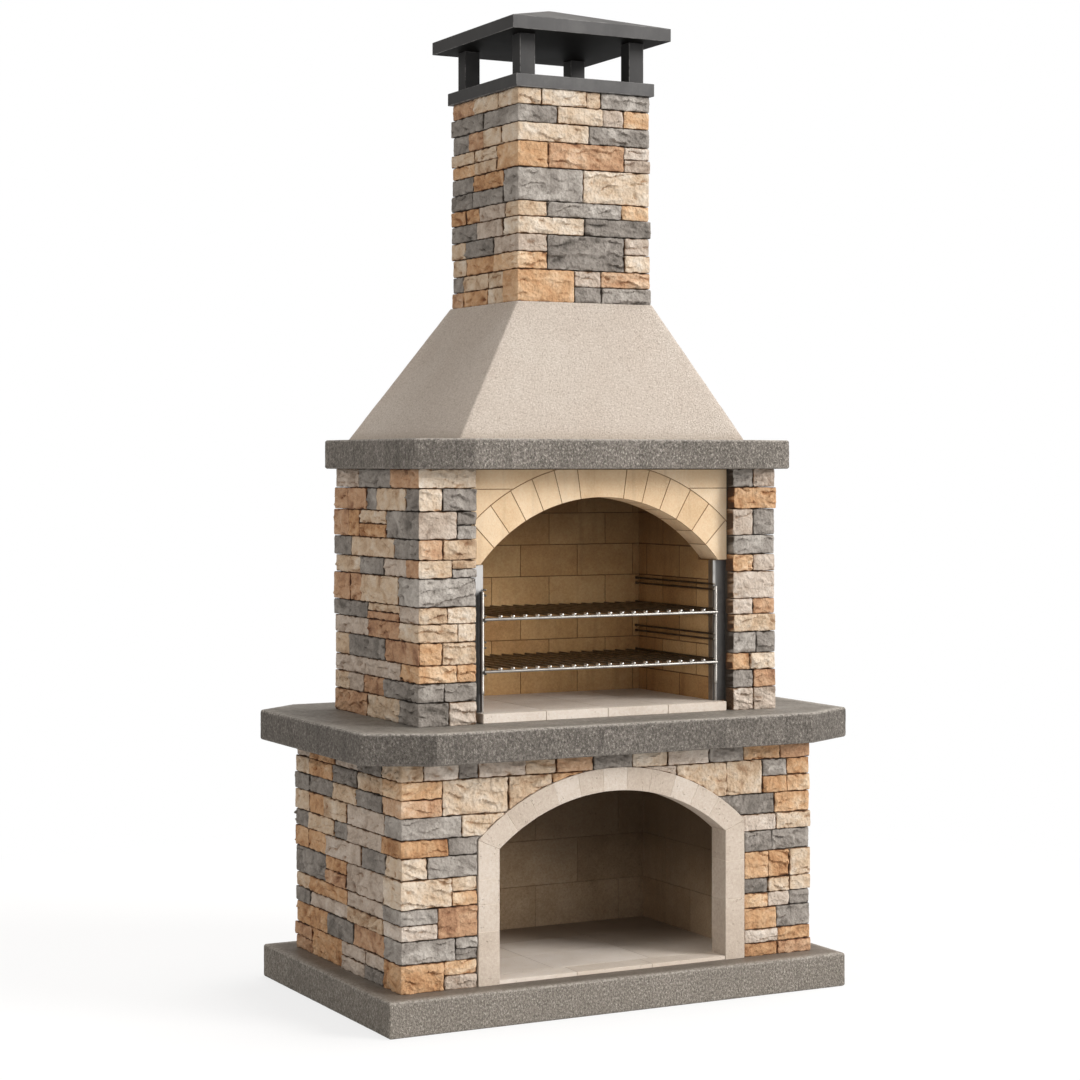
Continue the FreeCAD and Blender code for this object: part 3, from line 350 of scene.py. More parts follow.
def steel_finish(name, colour, rough, brush=(1.0, 1.0, 1.0), dark=None, plate_shadows=False):
    """Bare steel with fine drawing lines and stains; dark steel keeps a painted highlight on its
    tips, and plates can take painted shadow.
    """
    m = Finish(name)
    lines = m.noise(420.0, 3.0, 0.6, m.stretch(*brush))
    cloud = m.noise(24.0, 5.0, 0.65)

    def stained(clean, share, low, high):
        return m.mix(m.step(cloud, low, high), (*clean, 1.0), (*(share * c for c in clean), 1.0))

    shade = stained(colour, 0.72, 0.42, 0.75)
    if dark:
        # the tips keep the bright steel as a painted highlight; the rest of each rod takes the
        # darker steel
        shade = m.mix(m.attribute("tip"), stained(dark, 0.55, 0.35, 0.7), shade)
    shade = m.overlaid(shade, 0.25, lines, 0.3, 0.7, DRAWING_LINES)
    # painted shadow left of the post on the left plate, painted shade over the right plate
    if plate_shadows:
        spot = m.axes()
        left = m.times(m.step(spot["X"], *LEFT_PLATE), m.step(spot["Z"], *PLATE_FOOT))
        right = m.times(m.step(spot["X"], *RIGHT_PLATE), 0.6)
        shade = m.mix(m.maths("MAXIMUM", m.times(left, 0.95), right), shade, SHADOW_BLACK)
    gloss = m.plus(m.times(cloud, 0.18), rough)
    return m.done(shade, gloss, m.bump(lines, 0.12 * MM), metal=1.0)


def paint_finish(name, *tones, shine=0.3):
    """Dark satin powder coat on sheet steel: lighter on top from dust and painted light, painted
    shade to the left, scuffed at edges.
    """
    m = Finish(name)
    low, middle, high = shades(*tones)
    cloud = m.noise(8.0, 6.0, 0.65)
    colour = m.ramp(cloud, (0.3, low), (0.55, middle), (0.75, high))
    lines = m.noise(160.0, 3.0, 0.6, m.stretch(1.0, 1.0, 0.05))
    colour = m.overlaid(colour, 0.2, lines, 0.3, 0.7, PAINT_LINES)
    turned = m.normals()
    # tops lighter: dust and painted light from above
    dust_and_top_light = m.times(m.step(turned["Z"], 0.2, 0.8), m.step(cloud, 0.2, 0.7))
    colour = m.toward(colour, srgb(122, 121, 119), dust_and_top_light, 0.5)
    # painted shade on faces turned to the left
    colour = m.toward(colour, srgb(30, 30, 30), m.step(turned["X"], -0.3, -0.8), 0.6)
    scuff = m.times(m.attribute("edge"), m.step(m.noise(45.0, 5.0, 0.7), 0.4, 0.65))
    colour = m.toward(colour, srgb(150, 150, 150), scuff, 0.5)
    m.shader.inputs["Specular IOR Level"].default_value = shine
    rough = m.plus(m.times(cloud, 0.2), 0.5)
    return m.done(colour, rough, m.bump(m.noise(500.0, 2.0, 0.6), 0.25 * MM))


# Each tone of stone from its deepest to its lightest, then the colour of its hollows, which stands
# for dirt and painted shade.
BROWN_HOLLOWS = 182, 148, 112
GREY_HOLLOWS = 138, 132, 125
STONE_TONES = {
    "grey": ((102, 97, 91), (141, 135, 129), (164, 158, 152), (198, 193, 187), GREY_HOLLOWS),
    "greige": ((154, 136, 121), (193, 178, 164), (211, 198, 186), (233, 224, 214), BROWN_HOLLOWS),
    "buff": ((168, 137, 108), (207, 183, 156), (220, 203, 183), (236, 226, 213), BROWN_HOLLOWS),
    "ochre": ((150, 104, 66), (198, 155, 114), (216, 180, 143), (235, 211, 182), BROWN_HOLLOWS),
    "russet": ((142, 102, 75), (190, 150, 117), (208, 174, 143), (228, 204, 179), BROWN_HOLLOWS),
}
STONE = {tone: stone_finish("stone_" + tone, *shades(*colours))
         for tone, colours in STONE_TONES.items()}
CONCRETE = concrete_finish()
RENDER = render_finish()
ARCH_BRICK = block_finish(
    "arch_brick", ((220, 190, 152), (232, 205, 170), (240, 218, 188)), (134, 96, 60),
    seam=0.85, streak=0.16)
# firebrick: smoke at the top, painted shade towards the right
FIREBRICK = block_finish(
    "firebrick", ((180, 139, 92), (200, 161, 112), (213, 178, 130)), (96, 64, 34),
    seam=0.75, streak=0.2, mottle=0.6, smoke_and_shade=FIREBOX_SMOKE, corner=0.06)
HEARTH = block_finish(
    "hearth_tile", ((213, 202, 191), (223, 213, 203), (233, 225, 217)), (168, 150, 132),
    seam=0.35, mottle=0.5, pit=0.3)
SURROUND = block_finish(
    "surround_stone", ((191, 178, 165), (203, 191, 179), (214, 204, 194)), (170, 154, 138),
    seam=0.6, pit=0.6, grain_scale=110.0, mottle=0.45, mortar=(232, 221, 208))
# log lining: painted shade at the top and towards the right
LINING = block_finish(
    "log_lining", ((176, 153, 126), (194, 171, 143), (208, 187, 161)), (112, 92, 70),
    seam=0.32, pit=0.4, streak=0.15, mottle=0.65, smoke_and_shade=LOG_STORE_TOP_SHADE, corner=0.34)
LOG_FLOOR = block_finish(
    "log_floor", ((230, 217, 203), (242, 231, 219), (250, 241, 232)), (128, 108, 90),
    seam=0.3, pit=0.3, shaded=LOG_FLOOR_SHADE)
BACKING = block_finish(
    "blockwork", ((66, 60, 54), (80, 73, 66), (92, 86, 78)), (56, 50, 44),
    grain_scale=120.0, rough=0.95)
FLUE = block_finish(
    "flue_block", ((110, 104, 98), (128, 122, 116), (142, 137, 130)), (70, 66, 62))
PAINT = paint_finish("cowl_paint", (75, 75, 76), (89, 89, 90), (105, 105, 105))
# a darker copy of the cowl paint for the posts: painted shade under the roof
SHADED_POST_PAINT = paint_finish("shaded_post_paint", (50, 50, 51), (60, 60, 61), (71, 71, 71))
# near-black paint under the cowl roof: soot and painted shade
SOOT_AND_SHADE_PAINT = paint_finish("soot_and_shade_paint", (18, 17, 16), (26, 25, 24), (38, 36, 34), shine=0.02)
STEEL = steel_finish("grill_steel", (0.40, 0.385, 0.365), 0.38)
ROD_STEEL = steel_finish("rod_steel", (0.86, 0.85, 0.83), 0.36, dark=(0.20, 0.172, 0.138))
PLATE = steel_finish("plate_steel", (0.41, 0.405, 0.40), 0.42, (1.0, 1.0, 0.04), plate_shadows=True)


def placed(name, mesh):
    """Object of a mesh in the scene."""
    item = bpy.data.objects.new(name, mesh)
    bpy.context.scene.collection.objects.link(item)
    return item


def make(name, verts, faces, material, smooth_angle, **attributes):
    """Mesh object from point and face lists, with a value per point for each named attribute."""
    mesh = bpy.data.meshes.new(name)
    mesh.from_pydata(verts, [], faces)
    for key, values in attributes.items():
        layer = mesh.attributes.new(key, "FLOAT", "POINT")
        layer.data.foreach_set("value", np.asarray(values, np.float32))
    mesh.validate()
    mesh.materials.append(material)
    mesh.shade_smooth()
    mesh.set_sharp_from_angle(angle=math.radians(smooth_angle))
    return placed(name, mesh)


def settle(item, nodes, body=MASONRY):
    """The piece stands for these nodes and moves with that body."""
    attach(item, body)
    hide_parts(*nodes)
    return item


def box_of(node):
    """Lowest and highest corner of a CAD node."""
    return [np.array(corner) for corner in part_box(node)]


def points_of(node):
    """Points of a CAD node's mesh."""
    return np.array([vert.co[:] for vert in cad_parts[node].data.vertices])


def islands(node):
    """Separate solids of a CAD node: (points, triangles) of each, welded."""
    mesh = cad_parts[node].data
    mesh.calc_loop_triangles()
    triangles = np.empty(len(mesh.loop_triangles) * 3, np.int32)
    mesh.loop_triangles.foreach_get("vertices", triangles)
    points, index = np.unique(np.round(points_of(node), 5), axis=0, return_inverse=True)
    triangles = index.reshape(-1)[triangles].reshape(-1, 3)
    label, before = np.arange(len(points)), None
    while before is None or (label != before).any():
        before = label.copy()
        np.minimum.at(label, triangles, before[triangles].min(axis=1)[:, None])
    found = []
    for value in np.unique(label[triangles]):
        used, local = np.unique(triangles[label[triangles[:, 0]] == value], return_inverse=True)
        found.append((points[used], local.reshape(-1, 3)))
    found.sort(key=lambda solid: tuple(np.round(solid[0].mean(axis=0)[[2, 0, 1]], 4)))
    return found


# Split-face stones. A wall is seen from outside: u runs to the right along it, v up, h out of it.
WALLS = [np.array(out, float) for out in ((0, -1, 0), (1, 0, 0), (0, 1, 0), (-1, 0, 0))]
FRONT, LEFT = 0, 3
EDGE_ROUND = 3.2 * MM
MITRE_ROUND = 0.9 * MM
MITRE_LEAN = 10 * MM
CORNER_ROUND = 1.8 * MM
RIM_ROUND = 6 * MM
RIM_STEP = 8.0 * MM
RINGS = (0.8 * MM, 2.2 * MM, 4.6 * MM)
FINE, COARSE = 4.2 * MM, 6.8 * MM
FACE_DEPTH = 9.0 * MM
BED_DEPTH = 38.0 * MM
BACK_SPREAD = 1.1 * MM
BED_REACH = 3 * MM
EDGE_FADE, MITRE_FADE, CORNER_FADE = 9 * MM, 7 * MM, 14 * MM
CHIP_LENGTH = 17 * MM
WANDER_LENGTH = 18
# least painted light on the open face; only the rims and joints go lower
LEAST_FACE_LIGHT = 0.13
RIM_DARKENING_DEPTH = 3.0 * MM
# tint scale for stones seen only from the left: painted shade on the left wall
LEFT_WALL_SHADE = 0.35
STONE_SMOOTH = 42
SAME_POINT = 1e-7


def along(out):
    return np.cross(UP, out)


def lengths(runs):
    return np.linalg.norm(runs, axis=1)


def units(runs):
    return runs / np.maximum(lengths(runs), 1e-12)[:, None]


def onward(loop):
    """From each point of a loop to the next."""
    return np.roll(loop, -1, axis=0) - loop


def wall_loop(points, triangles, out, limit):
    """Outline of a stone's face on one wall as (u, v) points and its level, None without a face."""
    corners = points[triangles]
    normals = units(np.cross(corners[:, 1] - corners[:, 0], corners[:, 2] - corners[:, 0]))
    near = (limit - corners @ out).max(axis=1) < FACE_DEPTH
    chosen = triangles[(normals @ out > 0.99) & near]
    if not len(chosen):
        return None
    edges = {(a, b) for t in chosen for a, b in ((t[0], t[1]), (t[1], t[2]), (t[2], t[0]))}
    following = {a: b for a, b in edges if (b, a) not in edges}
    start = min(following)
    loop = [start]
    while following[loop[-1]] != start:
        loop.append(following[loop[-1]])
    ring = points[loop]
    flat = np.column_stack((ring @ along(out), ring[:, 2]))
    return without_flats(flat), float((ring @ out).mean())


def without_flats(loop):
    """The outline without the points at which it runs straight on."""
    before, after = np.roll(loop, 1, axis=0) - loop, onward(loop)
    turn = np.abs(before[:, 0] * after[:, 1] - before[:, 1] * after[:, 0])
    return loop[turn > 0.004 * lengths(before) * lengths(after)]


def rounded_loop(loop, radius, step):
    """The outline with its corners eased and its long edges divided."""
    count = len(loop)
    rounded = []
    for i in range(count):
        point, a, b = loop[i], loop[i - 1] - loop[i], loop[(i + 1) % count] - loop[i]
        la, lb = np.linalg.norm(a), np.linalg.norm(b)
        if np.dot(a, b) / (la * lb) < -0.87:
            rounded.append(point)
            continue
        reach = min(radius, 0.35 * la, 0.35 * lb)
        start, end = point + a / la * reach, point + b / lb * reach
        rounded += [start, 0.25 * start + 0.5 * point + 0.25 * end, end]
    divided = []
    for i, point in enumerate(rounded):
        after = rounded[(i + 1) % len(rounded)]
        parts = max(1, round(float(np.linalg.norm(after - point)) / step))
        divided += [point + (after - point) * k / parts for k in range(parts)]
    return np.array(divided)


def inward(loop):
    """Unit normals into an outline that runs counter-clockwise."""
    run = units(np.roll(loop, -1, axis=0) - np.roll(loop, 1, axis=0))
    return np.column_stack((-run[:, 1], run[:, 0]))


def edge_distances(spots, loop):
    """Distance of each spot from each edge of the outline."""
    run = onward(loop)
    length = np.maximum((run ** 2).sum(axis=1), 1e-12)
    offset = spots[:, None, :] - loop[None, :, :]
    share = np.clip((offset * run[None]).sum(axis=2) / length, 0, 1)
    return np.linalg.norm(offset - share[:, :, None] * run[None], axis=2)


def inside(spots, loop):
    """Which spots lie inside the outline."""
    x, y = spots[:, 0:1], spots[:, 1:2]
    ax, ay = loop[:, 0], loop[:, 1]
    bx, by = np.roll(ax, -1), np.roll(ay, -1)
    rise = np.where(by == ay, 1e-12, by - ay)
    crossed = ((ay > y) != (by > y)) & (x < (bx - ax) * (y - ay) / rise + ax)
    return crossed.sum(axis=1) % 2 == 1


def bowl(spot, seed):
    """Squared distance to the nearest of scattered points, about even round zero."""
    return noise.voronoi(Vector((spot.x, spot.y, seed)))[0][0] ** 2 - 0.3


def eased(value, low, high):
    """0 below low, 1 above high, smooth between."""
    share = min(max((value - low) / (high - low), 0.0), 1.0)
    return share * share * (3 - 2 * share)


def wave(x, y, z):
    return noise.noise(Vector((x, y, z)))


def split_relief(u, v, seed):
    """Chiselled face: ledges that break off along wavy lines, ripples and scoops.

    Gives the height of the face and the painted light and dirt on it: painted highlight on ripples,
    scoop ridges and ledge tops, painted shade under the ledges. Lengths are millimetres.
    """
    a, b = u / MM, v / MM
    vigour = 0.75 + 0.5 * (seed * 13.7 % 1)
    tilt = 0.5 * (seed * 7.31 % 1 - 0.5)
    warp = noise.noise_vector(Vector((a / 28, b / 28, seed)))
    slant = b + tilt * a
    wander = 12 * wave(a / 50, b / 45, seed + 3) + 6 * warp.y
    rise = ((slant + wander) / 34 + seed) % 1
    force = eased(wave(a / 60, b / 34, seed + 9), -0.15, 0.30)
    ledge = force * max(1 - rise / 0.7, 0.0) ** 1.5
    ripple = 1 - 2.2 * abs(wave((a + 12 * warp.x) / 30, (slant + 8 * warp.y) / 14, seed + 17))
    scoop = bowl(Vector(((a + 9 * warp.x) / 1.7, slant + 9 * warp.y)) / 25, seed)
    chip = bowl(Vector((a / 1.4, b)) / 11, seed + 31)
    swell = wave(a / 75, b / 42, seed)
    carving = 8.0 * ledge + 3.2 * ripple + 9.0 * scoop + 2.4 * chip
    height = 2.0 * swell + vigour * carving - 0.6
    # painted shade under each ledge
    under = force * eased(rise, 0.80, 1.0)
    # painted highlight on ripples, scoop ridges and chips, painted shade under the ledges
    light = 0.22 * (ripple - 0.4) + 0.6 * scoop + 0.2 * chip - 0.45 * under
    return height * MM, 0.5 + vigour * light + 0.15 * ledge


def filled(spots, edges, rim):
    """Triangles that fill the rim, the first of the spots, with the points and their sources."""
    spots = [Vector(spot) for spot in spots]
    made = delaunay_2d_cdt(spots, edges, [list(range(rim))], 1, SAME_POINT)
    return made[0], made[2], made[3]


class Stone:
    """One facing stone as points, faces and surface values, flat or wrapped round a corner."""

    def __init__(self, loops, points, seed, spacing):
        self.seed = seed
        self.random = random.Random(int(seed * 1000))
        self.spacing = spacing
        walls = sorted(loops)
        if walls == [FRONT, LEFT]:
            walls = [LEFT, FRONT]
        self.corner = len(walls) == 2
        self.outs = [WALLS[wall] for wall in walls]
        self.runs = [along(out) for out in self.outs]
        self.edge = sum(out * loops[wall][1] for out, wall in zip(self.outs, walls))
        self.loop = loops[walls[0]][0]
        if self.corner:
            self.unfold(loops[walls[1]][0])
        self.ends = self.loop[:, 0].min(), self.loop[:, 0].max()
        self.find_mitres(points)

    def unfold(self, following):
        """Outline of both faces of a corner stone, with u at 0 on the arris."""
        low, high = self.loop.min(axis=0), self.loop.max(axis=0)
        right = following[:, 0].max() - following[:, 0].min()
        across = (low[0] - high[0], -CORNER_ROUND, CORNER_ROUND, right)
        self.loop = np.array([(u, low[1]) for u in across] + [(u, high[1]) for u in across[::-1]])

    def find_mitres(self, points):
        """How far each end leans in towards the back: a mitre leans far, and its edge is sharp."""
        self.lean = [0.0, 0.0]
        deep = points[(points - self.edge) @ self.outs[0] < -0.9 * BED_DEPTH] @ self.runs[0]
        if len(deep) and not self.corner:
            self.lean = [deep.min() - self.ends[0], deep.max() - self.ends[1]]
        middle = 0.5 * (self.loop[:, 0] + np.roll(self.loop[:, 0], -1))
        self.rounds = np.full(len(middle), EDGE_ROUND)
        for end, lean, side in zip(self.ends, self.lean, (-1, 1)):
            if abs(lean) > MITRE_LEAN:
                self.rounds[side * (middle - end) > -1 * MM] = MITRE_ROUND

    def spot(self, u, v, h):
        """Place in space of a point of the face."""
        turn = CORNER_ROUND
        if not self.corner or abs(u) > turn:
            side = int(self.corner and u > 0)
            return self.edge + self.runs[side] * u + UP * v + self.outs[side] * h
        angle = (u + turn) / (2 * turn) * math.pi / 2
        normal = self.outs[0] * math.cos(angle) + self.outs[1] * math.sin(angle)
        return self.edge - sum(self.outs) * turn + UP * v + normal * (turn + h)

    def back(self, u, v):
        """Place in space of the point behind a point of the rim, a little into the bed joints."""
        low, high = self.loop[:, 1].min(), self.loop[:, 1].max()
        if v < low + BED_REACH:
            v = low - BACK_SPREAD
        elif v > high - BED_REACH:
            v = high + BACK_SPREAD
        side = int(self.corner and u > 0)
        if self.corner:
            u = max(u, BED_DEPTH) if side else min(u, -BED_DEPTH)
        else:
            left, right = self.lean[0] - BACK_SPREAD, self.lean[1] + BACK_SPREAD
            share = (u - self.ends[0]) / (self.ends[1] - self.ends[0])
            u += left * (1 - share) + right * share
        return self.edge + self.runs[side] * u + UP * v - self.outs[side] * BED_DEPTH

    def scatter(self, rim):
        """Points of the face: the rim, rings that follow it, and a jittered field inside."""
        loop, spacing = self.loop, self.spacing
        spots = [rim]
        for depth in RINGS:
            ring = rim + inward(rim) * depth
            clear = edge_distances(ring, loop).min(axis=1) > 0.8 * depth
            spots.append(ring[clear & inside(ring, loop)])
        low, high = loop.min(axis=0), loop.max(axis=0)
        field = []
        row = 0
        v = low[1] + spacing / 2
        while v < high[1]:
            u = low[0] + spacing * (0.25 + 0.5 * (row % 2))
            while u < high[0]:
                field.append((u + self.random.uniform(-0.3, 0.3) * spacing,
                              v + self.random.uniform(-0.3, 0.3) * spacing))
                u += spacing
            v += spacing * 0.87
            row += 1
        field = np.array(field).reshape(-1, 2)
        if self.corner:
            levels = np.arange(low[1], high[1], spacing)
            arris = [(u, v) for v in levels for u in (-CORNER_ROUND, 0.0, CORNER_ROUND)]
            beside = np.abs(field[:, 0]) > CORNER_ROUND + 0.4 * spacing
            field = np.vstack((field[beside], arris))
        if len(field):
            deep = edge_distances(field, loop).min(axis=1) > RINGS[-1] + 0.45 * spacing
            spots.append(field[deep & inside(field, loop)])
        return np.vstack(spots)

    def build(self):
        """Points, faces and painted light and dirt of the whole stone."""
        rim = rounded_loop(self.loop, RIM_ROUND, RIM_STEP)
        wander = [wave(*(p / MM / WANDER_LENGTH), self.seed) for p in rim]
        rim = rim + inward(rim) * (0.6 * np.array(wander)[:, None] - 0.2) * MM
        flat, faces, origins = filled(self.scatter(rim), [], len(rim))
        spots = np.array([(p.x, p.y) for p in flat])
        distances = edge_distances(spots, self.loop)
        nearest = distances.min(axis=1)
        chipped = [max(wave(*(p / CHIP_LENGTH), self.seed), -0.3) for p in spots]
        radii = self.rounds * (1 + 1.6 * np.array(chipped))[:, None]
        inner = np.clip(1 - distances / radii, 0, 1)
        drop = (radii * (1 - np.sqrt(np.maximum(1 - inner ** 2, 0)))).max(axis=1)
        fade = 0.35 + 0.65 * np.clip(nearest / EDGE_FADE, 0, 1)
        mitres = self.rounds == MITRE_ROUND
        if mitres.any():
            fade *= np.clip(distances[:, mitres].min(axis=1) / MITRE_FADE, 0, 1)
        if self.corner:
            fade *= np.clip(np.abs(spots[:, 0]) / CORNER_FADE, 0.15, 1)
        relief = np.array([split_relief(*p, self.seed) for p in spots])
        verts = [self.spot(*p, h) for p, h in zip(spots, fade * relief[:, 0] - drop)]
        # painted light of the relief, darker where the rim rounds off
        lift = list(np.clip(np.maximum(relief[:, 1], LEAST_FACE_LIGHT) - drop / RIM_DARKENING_DEPTH, 0, 1))
        faces = [list(face) for face in faces]
        order = {source: i for i, sources in enumerate(origins) for source in sources}
        self.close(rim, [order[i] for i in range(len(rim))], verts, faces, lift)
        return verts, faces, lift

    def close(self, rim, front, verts, faces, lift):
        """Bed faces from the rim to the back of the stone, and the back itself."""
        known = {}
        behind = []
        for p in rim:
            point = self.back(*p)
            key = tuple(np.round(point, 5))
            if key not in known:
                known[key] = len(verts)
                verts.append(point)
                lift.append(0.0)
            behind.append(known[key])
        count = len(rim)
        for i in range(count):
            j = (i + 1) % count
            side = [front[i], behind[i], behind[j], front[j]]
            faces.append(side if behind[i] != behind[j] else side[:2] + side[3:])
        halves = [behind]
        if self.corner:
            halves = [[b for b, p in zip(behind, rim) if (p[0] > 0) == right]
                      for right in (False, True)]
        for half in halves:
            faces.append(list(dict.fromkeys(half))[::-1])


def facing(module):
    """All the stones of one wall ring, one piece for each tone."""
    nodes = {tone: f"{module}_stones_{tone}" for tone in STONE_TONES}
    corners = np.array([box_of(node) for node in nodes.values()])
    low, high = corners[:, 0].min(axis=0), corners[:, 1].max(axis=0)
    limits = [max(out @ low, out @ high) for out in WALLS]
    for tone, node in nodes.items():
        draw = random.Random(node)
        verts, faces, tint, lift = [], [], [], []
        for points, triangles in islands(node):
            loops = {wall: wall_loop(points, triangles, out, limits[wall])
                     for wall, out in enumerate(WALLS)}
            loops = {wall: loop for wall, loop in loops.items() if loop}
            seen = FRONT in loops or LEFT in loops
            stone = Stone(loops, points, draw.uniform(0, 90), FINE if seen else COARSE)
            some_verts, some_faces, some_lift = stone.build()
            start = len(verts)
            verts += some_verts
            faces += [[i + start for i in face] for face in some_faces]
            lift += some_lift
            # stones seen only from the left take darker tints: painted shade
            most = LEFT_WALL_SHADE if FRONT not in loops and LEFT in loops else 1.0
            tint += [draw.random() * most] * len(some_verts)
        piece = make(f"{node}_split", verts, faces, STONE[tone], STONE_SMOOTH, tint=tint, lift=lift)
        settle(piece, [node])


# Cast slabs: the outline of the CAD slab with eased corners, an uneven arris and granular sides.
SLAB_STEP = 6.0 * MM
SLAB_ARRIS = 7.0 * MM
SLAB_CORNER = 5 * MM
SLAB_ROWS = 13
SLAB_SMOOTH = 50
COVER_STEP = 30 * MM


def outline_of(node):
    """Corners of a slab's plan, counter-clockwise."""
    points = np.unique(np.round(points_of(node)[:, :2], 5), axis=0)
    hull = points[convex_hull_2d([Vector(p) for p in points])]
    if np.cross(hull[1] - hull[0], hull[2] - hull[1]) < 0:
        hull = hull[::-1]
    return without_flats(hull)


def mitred(corners, inset):
    """The outline moved in by the inset, each corner along its bisector."""
    run = units(onward(corners))
    after = np.column_stack((-run[:, 1], run[:, 0]))
    before = np.roll(after, 1, axis=0)
    reach = inset / (1 + (before * after).sum(axis=1))
    return corners + (before + after) * reach[:, None]


def eased_ring(corners, radius, parts):
    """Ring with eased corners and a set number of parts on each edge."""
    ring = []
    ahead = units(onward(corners))
    for i, point in enumerate(corners):
        start, end = point - ahead[i - 1] * radius, point + ahead[i] * radius
        for t in (0.0, 0.25, 0.5, 0.75):
            ring.append((1 - t) ** 2 * start + 2 * t * (1 - t) * point + t * t * end)
        stop = corners[(i + 1) % len(corners)] - ahead[i] * radius
        ring += [end + (stop - end) * k / parts[i] for k in range(parts[i])]
    return np.array(ring)


def slab(name, node, seed, hole=None):
    """Cast slab with granular sides and chipped arrises; the hole goes right through it."""
    low, high = box_of(node)
    corners = outline_of(node)
    parts = [max(1, round(length / SLAB_STEP)) for length in lengths(onward(corners))]
    arris = [(SLAB_ARRIS * (1 - math.cos(a)), SLAB_ARRIS * (1 - math.sin(a)))
             for a in (0.4, 0.8, 1.2)]
    sides = np.linspace(low[2] + SLAB_ARRIS, high[2] - SLAB_ARRIS, SLAB_ROWS)
    rows = [(inset, low[2] + drop, 0.4) for inset, drop in reversed(arris)]
    rows += [(0.0, z, 0.0) for z in sides]
    rows += [(inset, high[2] - drop, 1.0) for inset, drop in arris]
    verts, faces, worn = [], [], []
    for inset, z, edge in rows:
        plan = eased_ring(mitred(corners, inset), SLAB_CORNER, parts)
        for point, normal in zip(plan, inward(plan)):
            spot = Vector((*point, z)) / MM
            grains = noise.noise(spot / 9 + Vector((seed, 0, 0)))
            push = 0.8 - 0.55 * grains - 0.45 * noise.noise(spot / 33)
            chip = max(0.0, noise.noise(spot / 21 + Vector((0, seed, 0))) - 0.28) * 3.2 * edge
            verts.append((*(point + normal * (push + chip) * MM), z))
            # how much wear and painted highlight each arris row takes
            worn.append(edge)
    rings = rings_of(len(rows), len(plan))
    skirts(faces, rings)
    under = cover(verts, faces, worn, rings[0], low[2], hole, True)
    over = cover(verts, faces, worn, rings[-1], high[2], hole, False)
    skirts(faces, [over, under])
    piece = make(name, verts, faces, CONCRETE, SLAB_SMOOTH, worn=worn)
    settle(piece, [node])


def rings_of(rows, count, base=0):
    """Numbers of the points of each ring, where the rings follow each other from the base on."""
    return [range(base + row * count, base + (row + 1) * count) for row in range(rows)]


def skirts(faces, rings):
    """Faces from each ring to the next one."""
    for low, high in zip(rings, rings[1:]):
        faces += [[low[i - 1], low[i], high[i], high[i - 1]] for i in range(len(low))]


def cover(verts, faces, worn, ring, z, hole, under):
    """Level face inside a ring, a little uneven, open at the hole; gives the points round it."""
    outline = np.array([verts[i][:2] for i in ring])
    across, along_it = (np.arange(side.min(), side.max(), COVER_STEP) for side in outline.T)
    grid = np.array([(u, v) for u in across for v in along_it])
    grid = grid[inside(grid, outline)]
    grid = grid[edge_distances(grid, outline[::3]).min(axis=1) > 0.5 * COVER_STEP]
    edges = []
    spots = [outline]
    if hole is not None:
        spots.append(hole)
        edges = [(len(ring) + i, len(ring) + (i + 1) % len(hole)) for i in range(len(hole))]
        grid = grid[~inside(grid, hole)]
        grid = grid[edge_distances(grid, hole).min(axis=1) > 0.3 * COVER_STEP]
    spots = np.vstack(spots + [grid])
    flat, triangles, origins = filled(spots, edges, len(ring))
    index, mouth = {}, {}
    for i, sources in enumerate(origins):
        source = min(sources, default=len(spots))
        if source < len(ring):
            index[i] = ring[source]
            continue
        sag = 0.0 if under else 0.4 * MM * abs(wave(flat[i].x * 9, flat[i].y * 9, z))
        index[i] = len(verts)
        mouth[source - len(ring)] = len(verts)
        verts.append((flat[i].x, flat[i].y, z - sag))
        worn.append(0.0)
    for triangle in triangles:
        centre = np.mean([(flat[i].x, flat[i].y) for i in triangle], axis=0)
        if hole is None or not inside(centre[None], hole)[0]:
            face = [index[i] for i in triangle]
            faces.append(face[::-1] if under else face)
    return [] if hole is None else [mouth[i] for i in range(len(hole))]


def throat():
    """Outline of the opening through the mantel."""
    low, high = (corner[:2] for corner in box_of("mantel"))
    margin = 60 * MM
    points = points_of("mantel")[:, :2]
    inner = points[(points > low + margin).all(axis=1) & (points < high - margin).all(axis=1)]
    a, b = inner.min(axis=0), inner.max(axis=0)
    return np.array(((a[0], a[1]), (b[0], a[1]), (b[0], b[1]), (a[0], b[1])))


HOOD_ROWS = 30
HOOD_PARTS = 26
HOOD_ROUND = 7 * MM
HOOD_SMOOTH = 40


def hood_piece():
    """Rendered hood: flat front and back, sides that wind from splayed foot to square neck."""
    low, high = box_of("hood")
    points = points_of("hood")
    foot = corners_at(points, low[2])
    neck = corners_at(points, high[2])
    verts, faces = [], []
    for share in np.arange(HOOD_ROWS + 1) / HOOD_ROWS:
        plan = ruled_ring((1 - share) * foot + share * neck)
        z = low[2] + (high[2] - low[2]) * share
        for point, normal in zip(plan, -inward(plan)):
            spot = Vector((*point, z)) / MM
            push = 0.9 * noise.noise(spot / 60) + 0.35 * noise.noise(spot / 14) - 0.9
            verts.append((*(point + normal * push * MM), z))
    count = len(plan)
    rings = rings_of(HOOD_ROWS + 1, count)
    inner = rings_of(2, 4, len(verts))
    skirts(faces, rings)
    skirts(faces, inner[::-1])
    for z in (low[2], high[2]):
        verts += [(*point, z) for point in corners_at(points, z, inner=True)]
    side = count // 4
    for ring, mouth, flip in ((rings[0], inner[0], False), (rings[-1], inner[1], True)):
        for i in range(4):
            outer = [ring[(i * side + k) % count] for k in range(side + 1)]
            face = outer[::-1] + [mouth[i], mouth[(i + 1) % 4]]
            faces.append(face[::-1] if flip else face)
    piece = make("hood_rendered", verts, faces, RENDER, HOOD_SMOOTH)
    settle(piece, ["hood"])


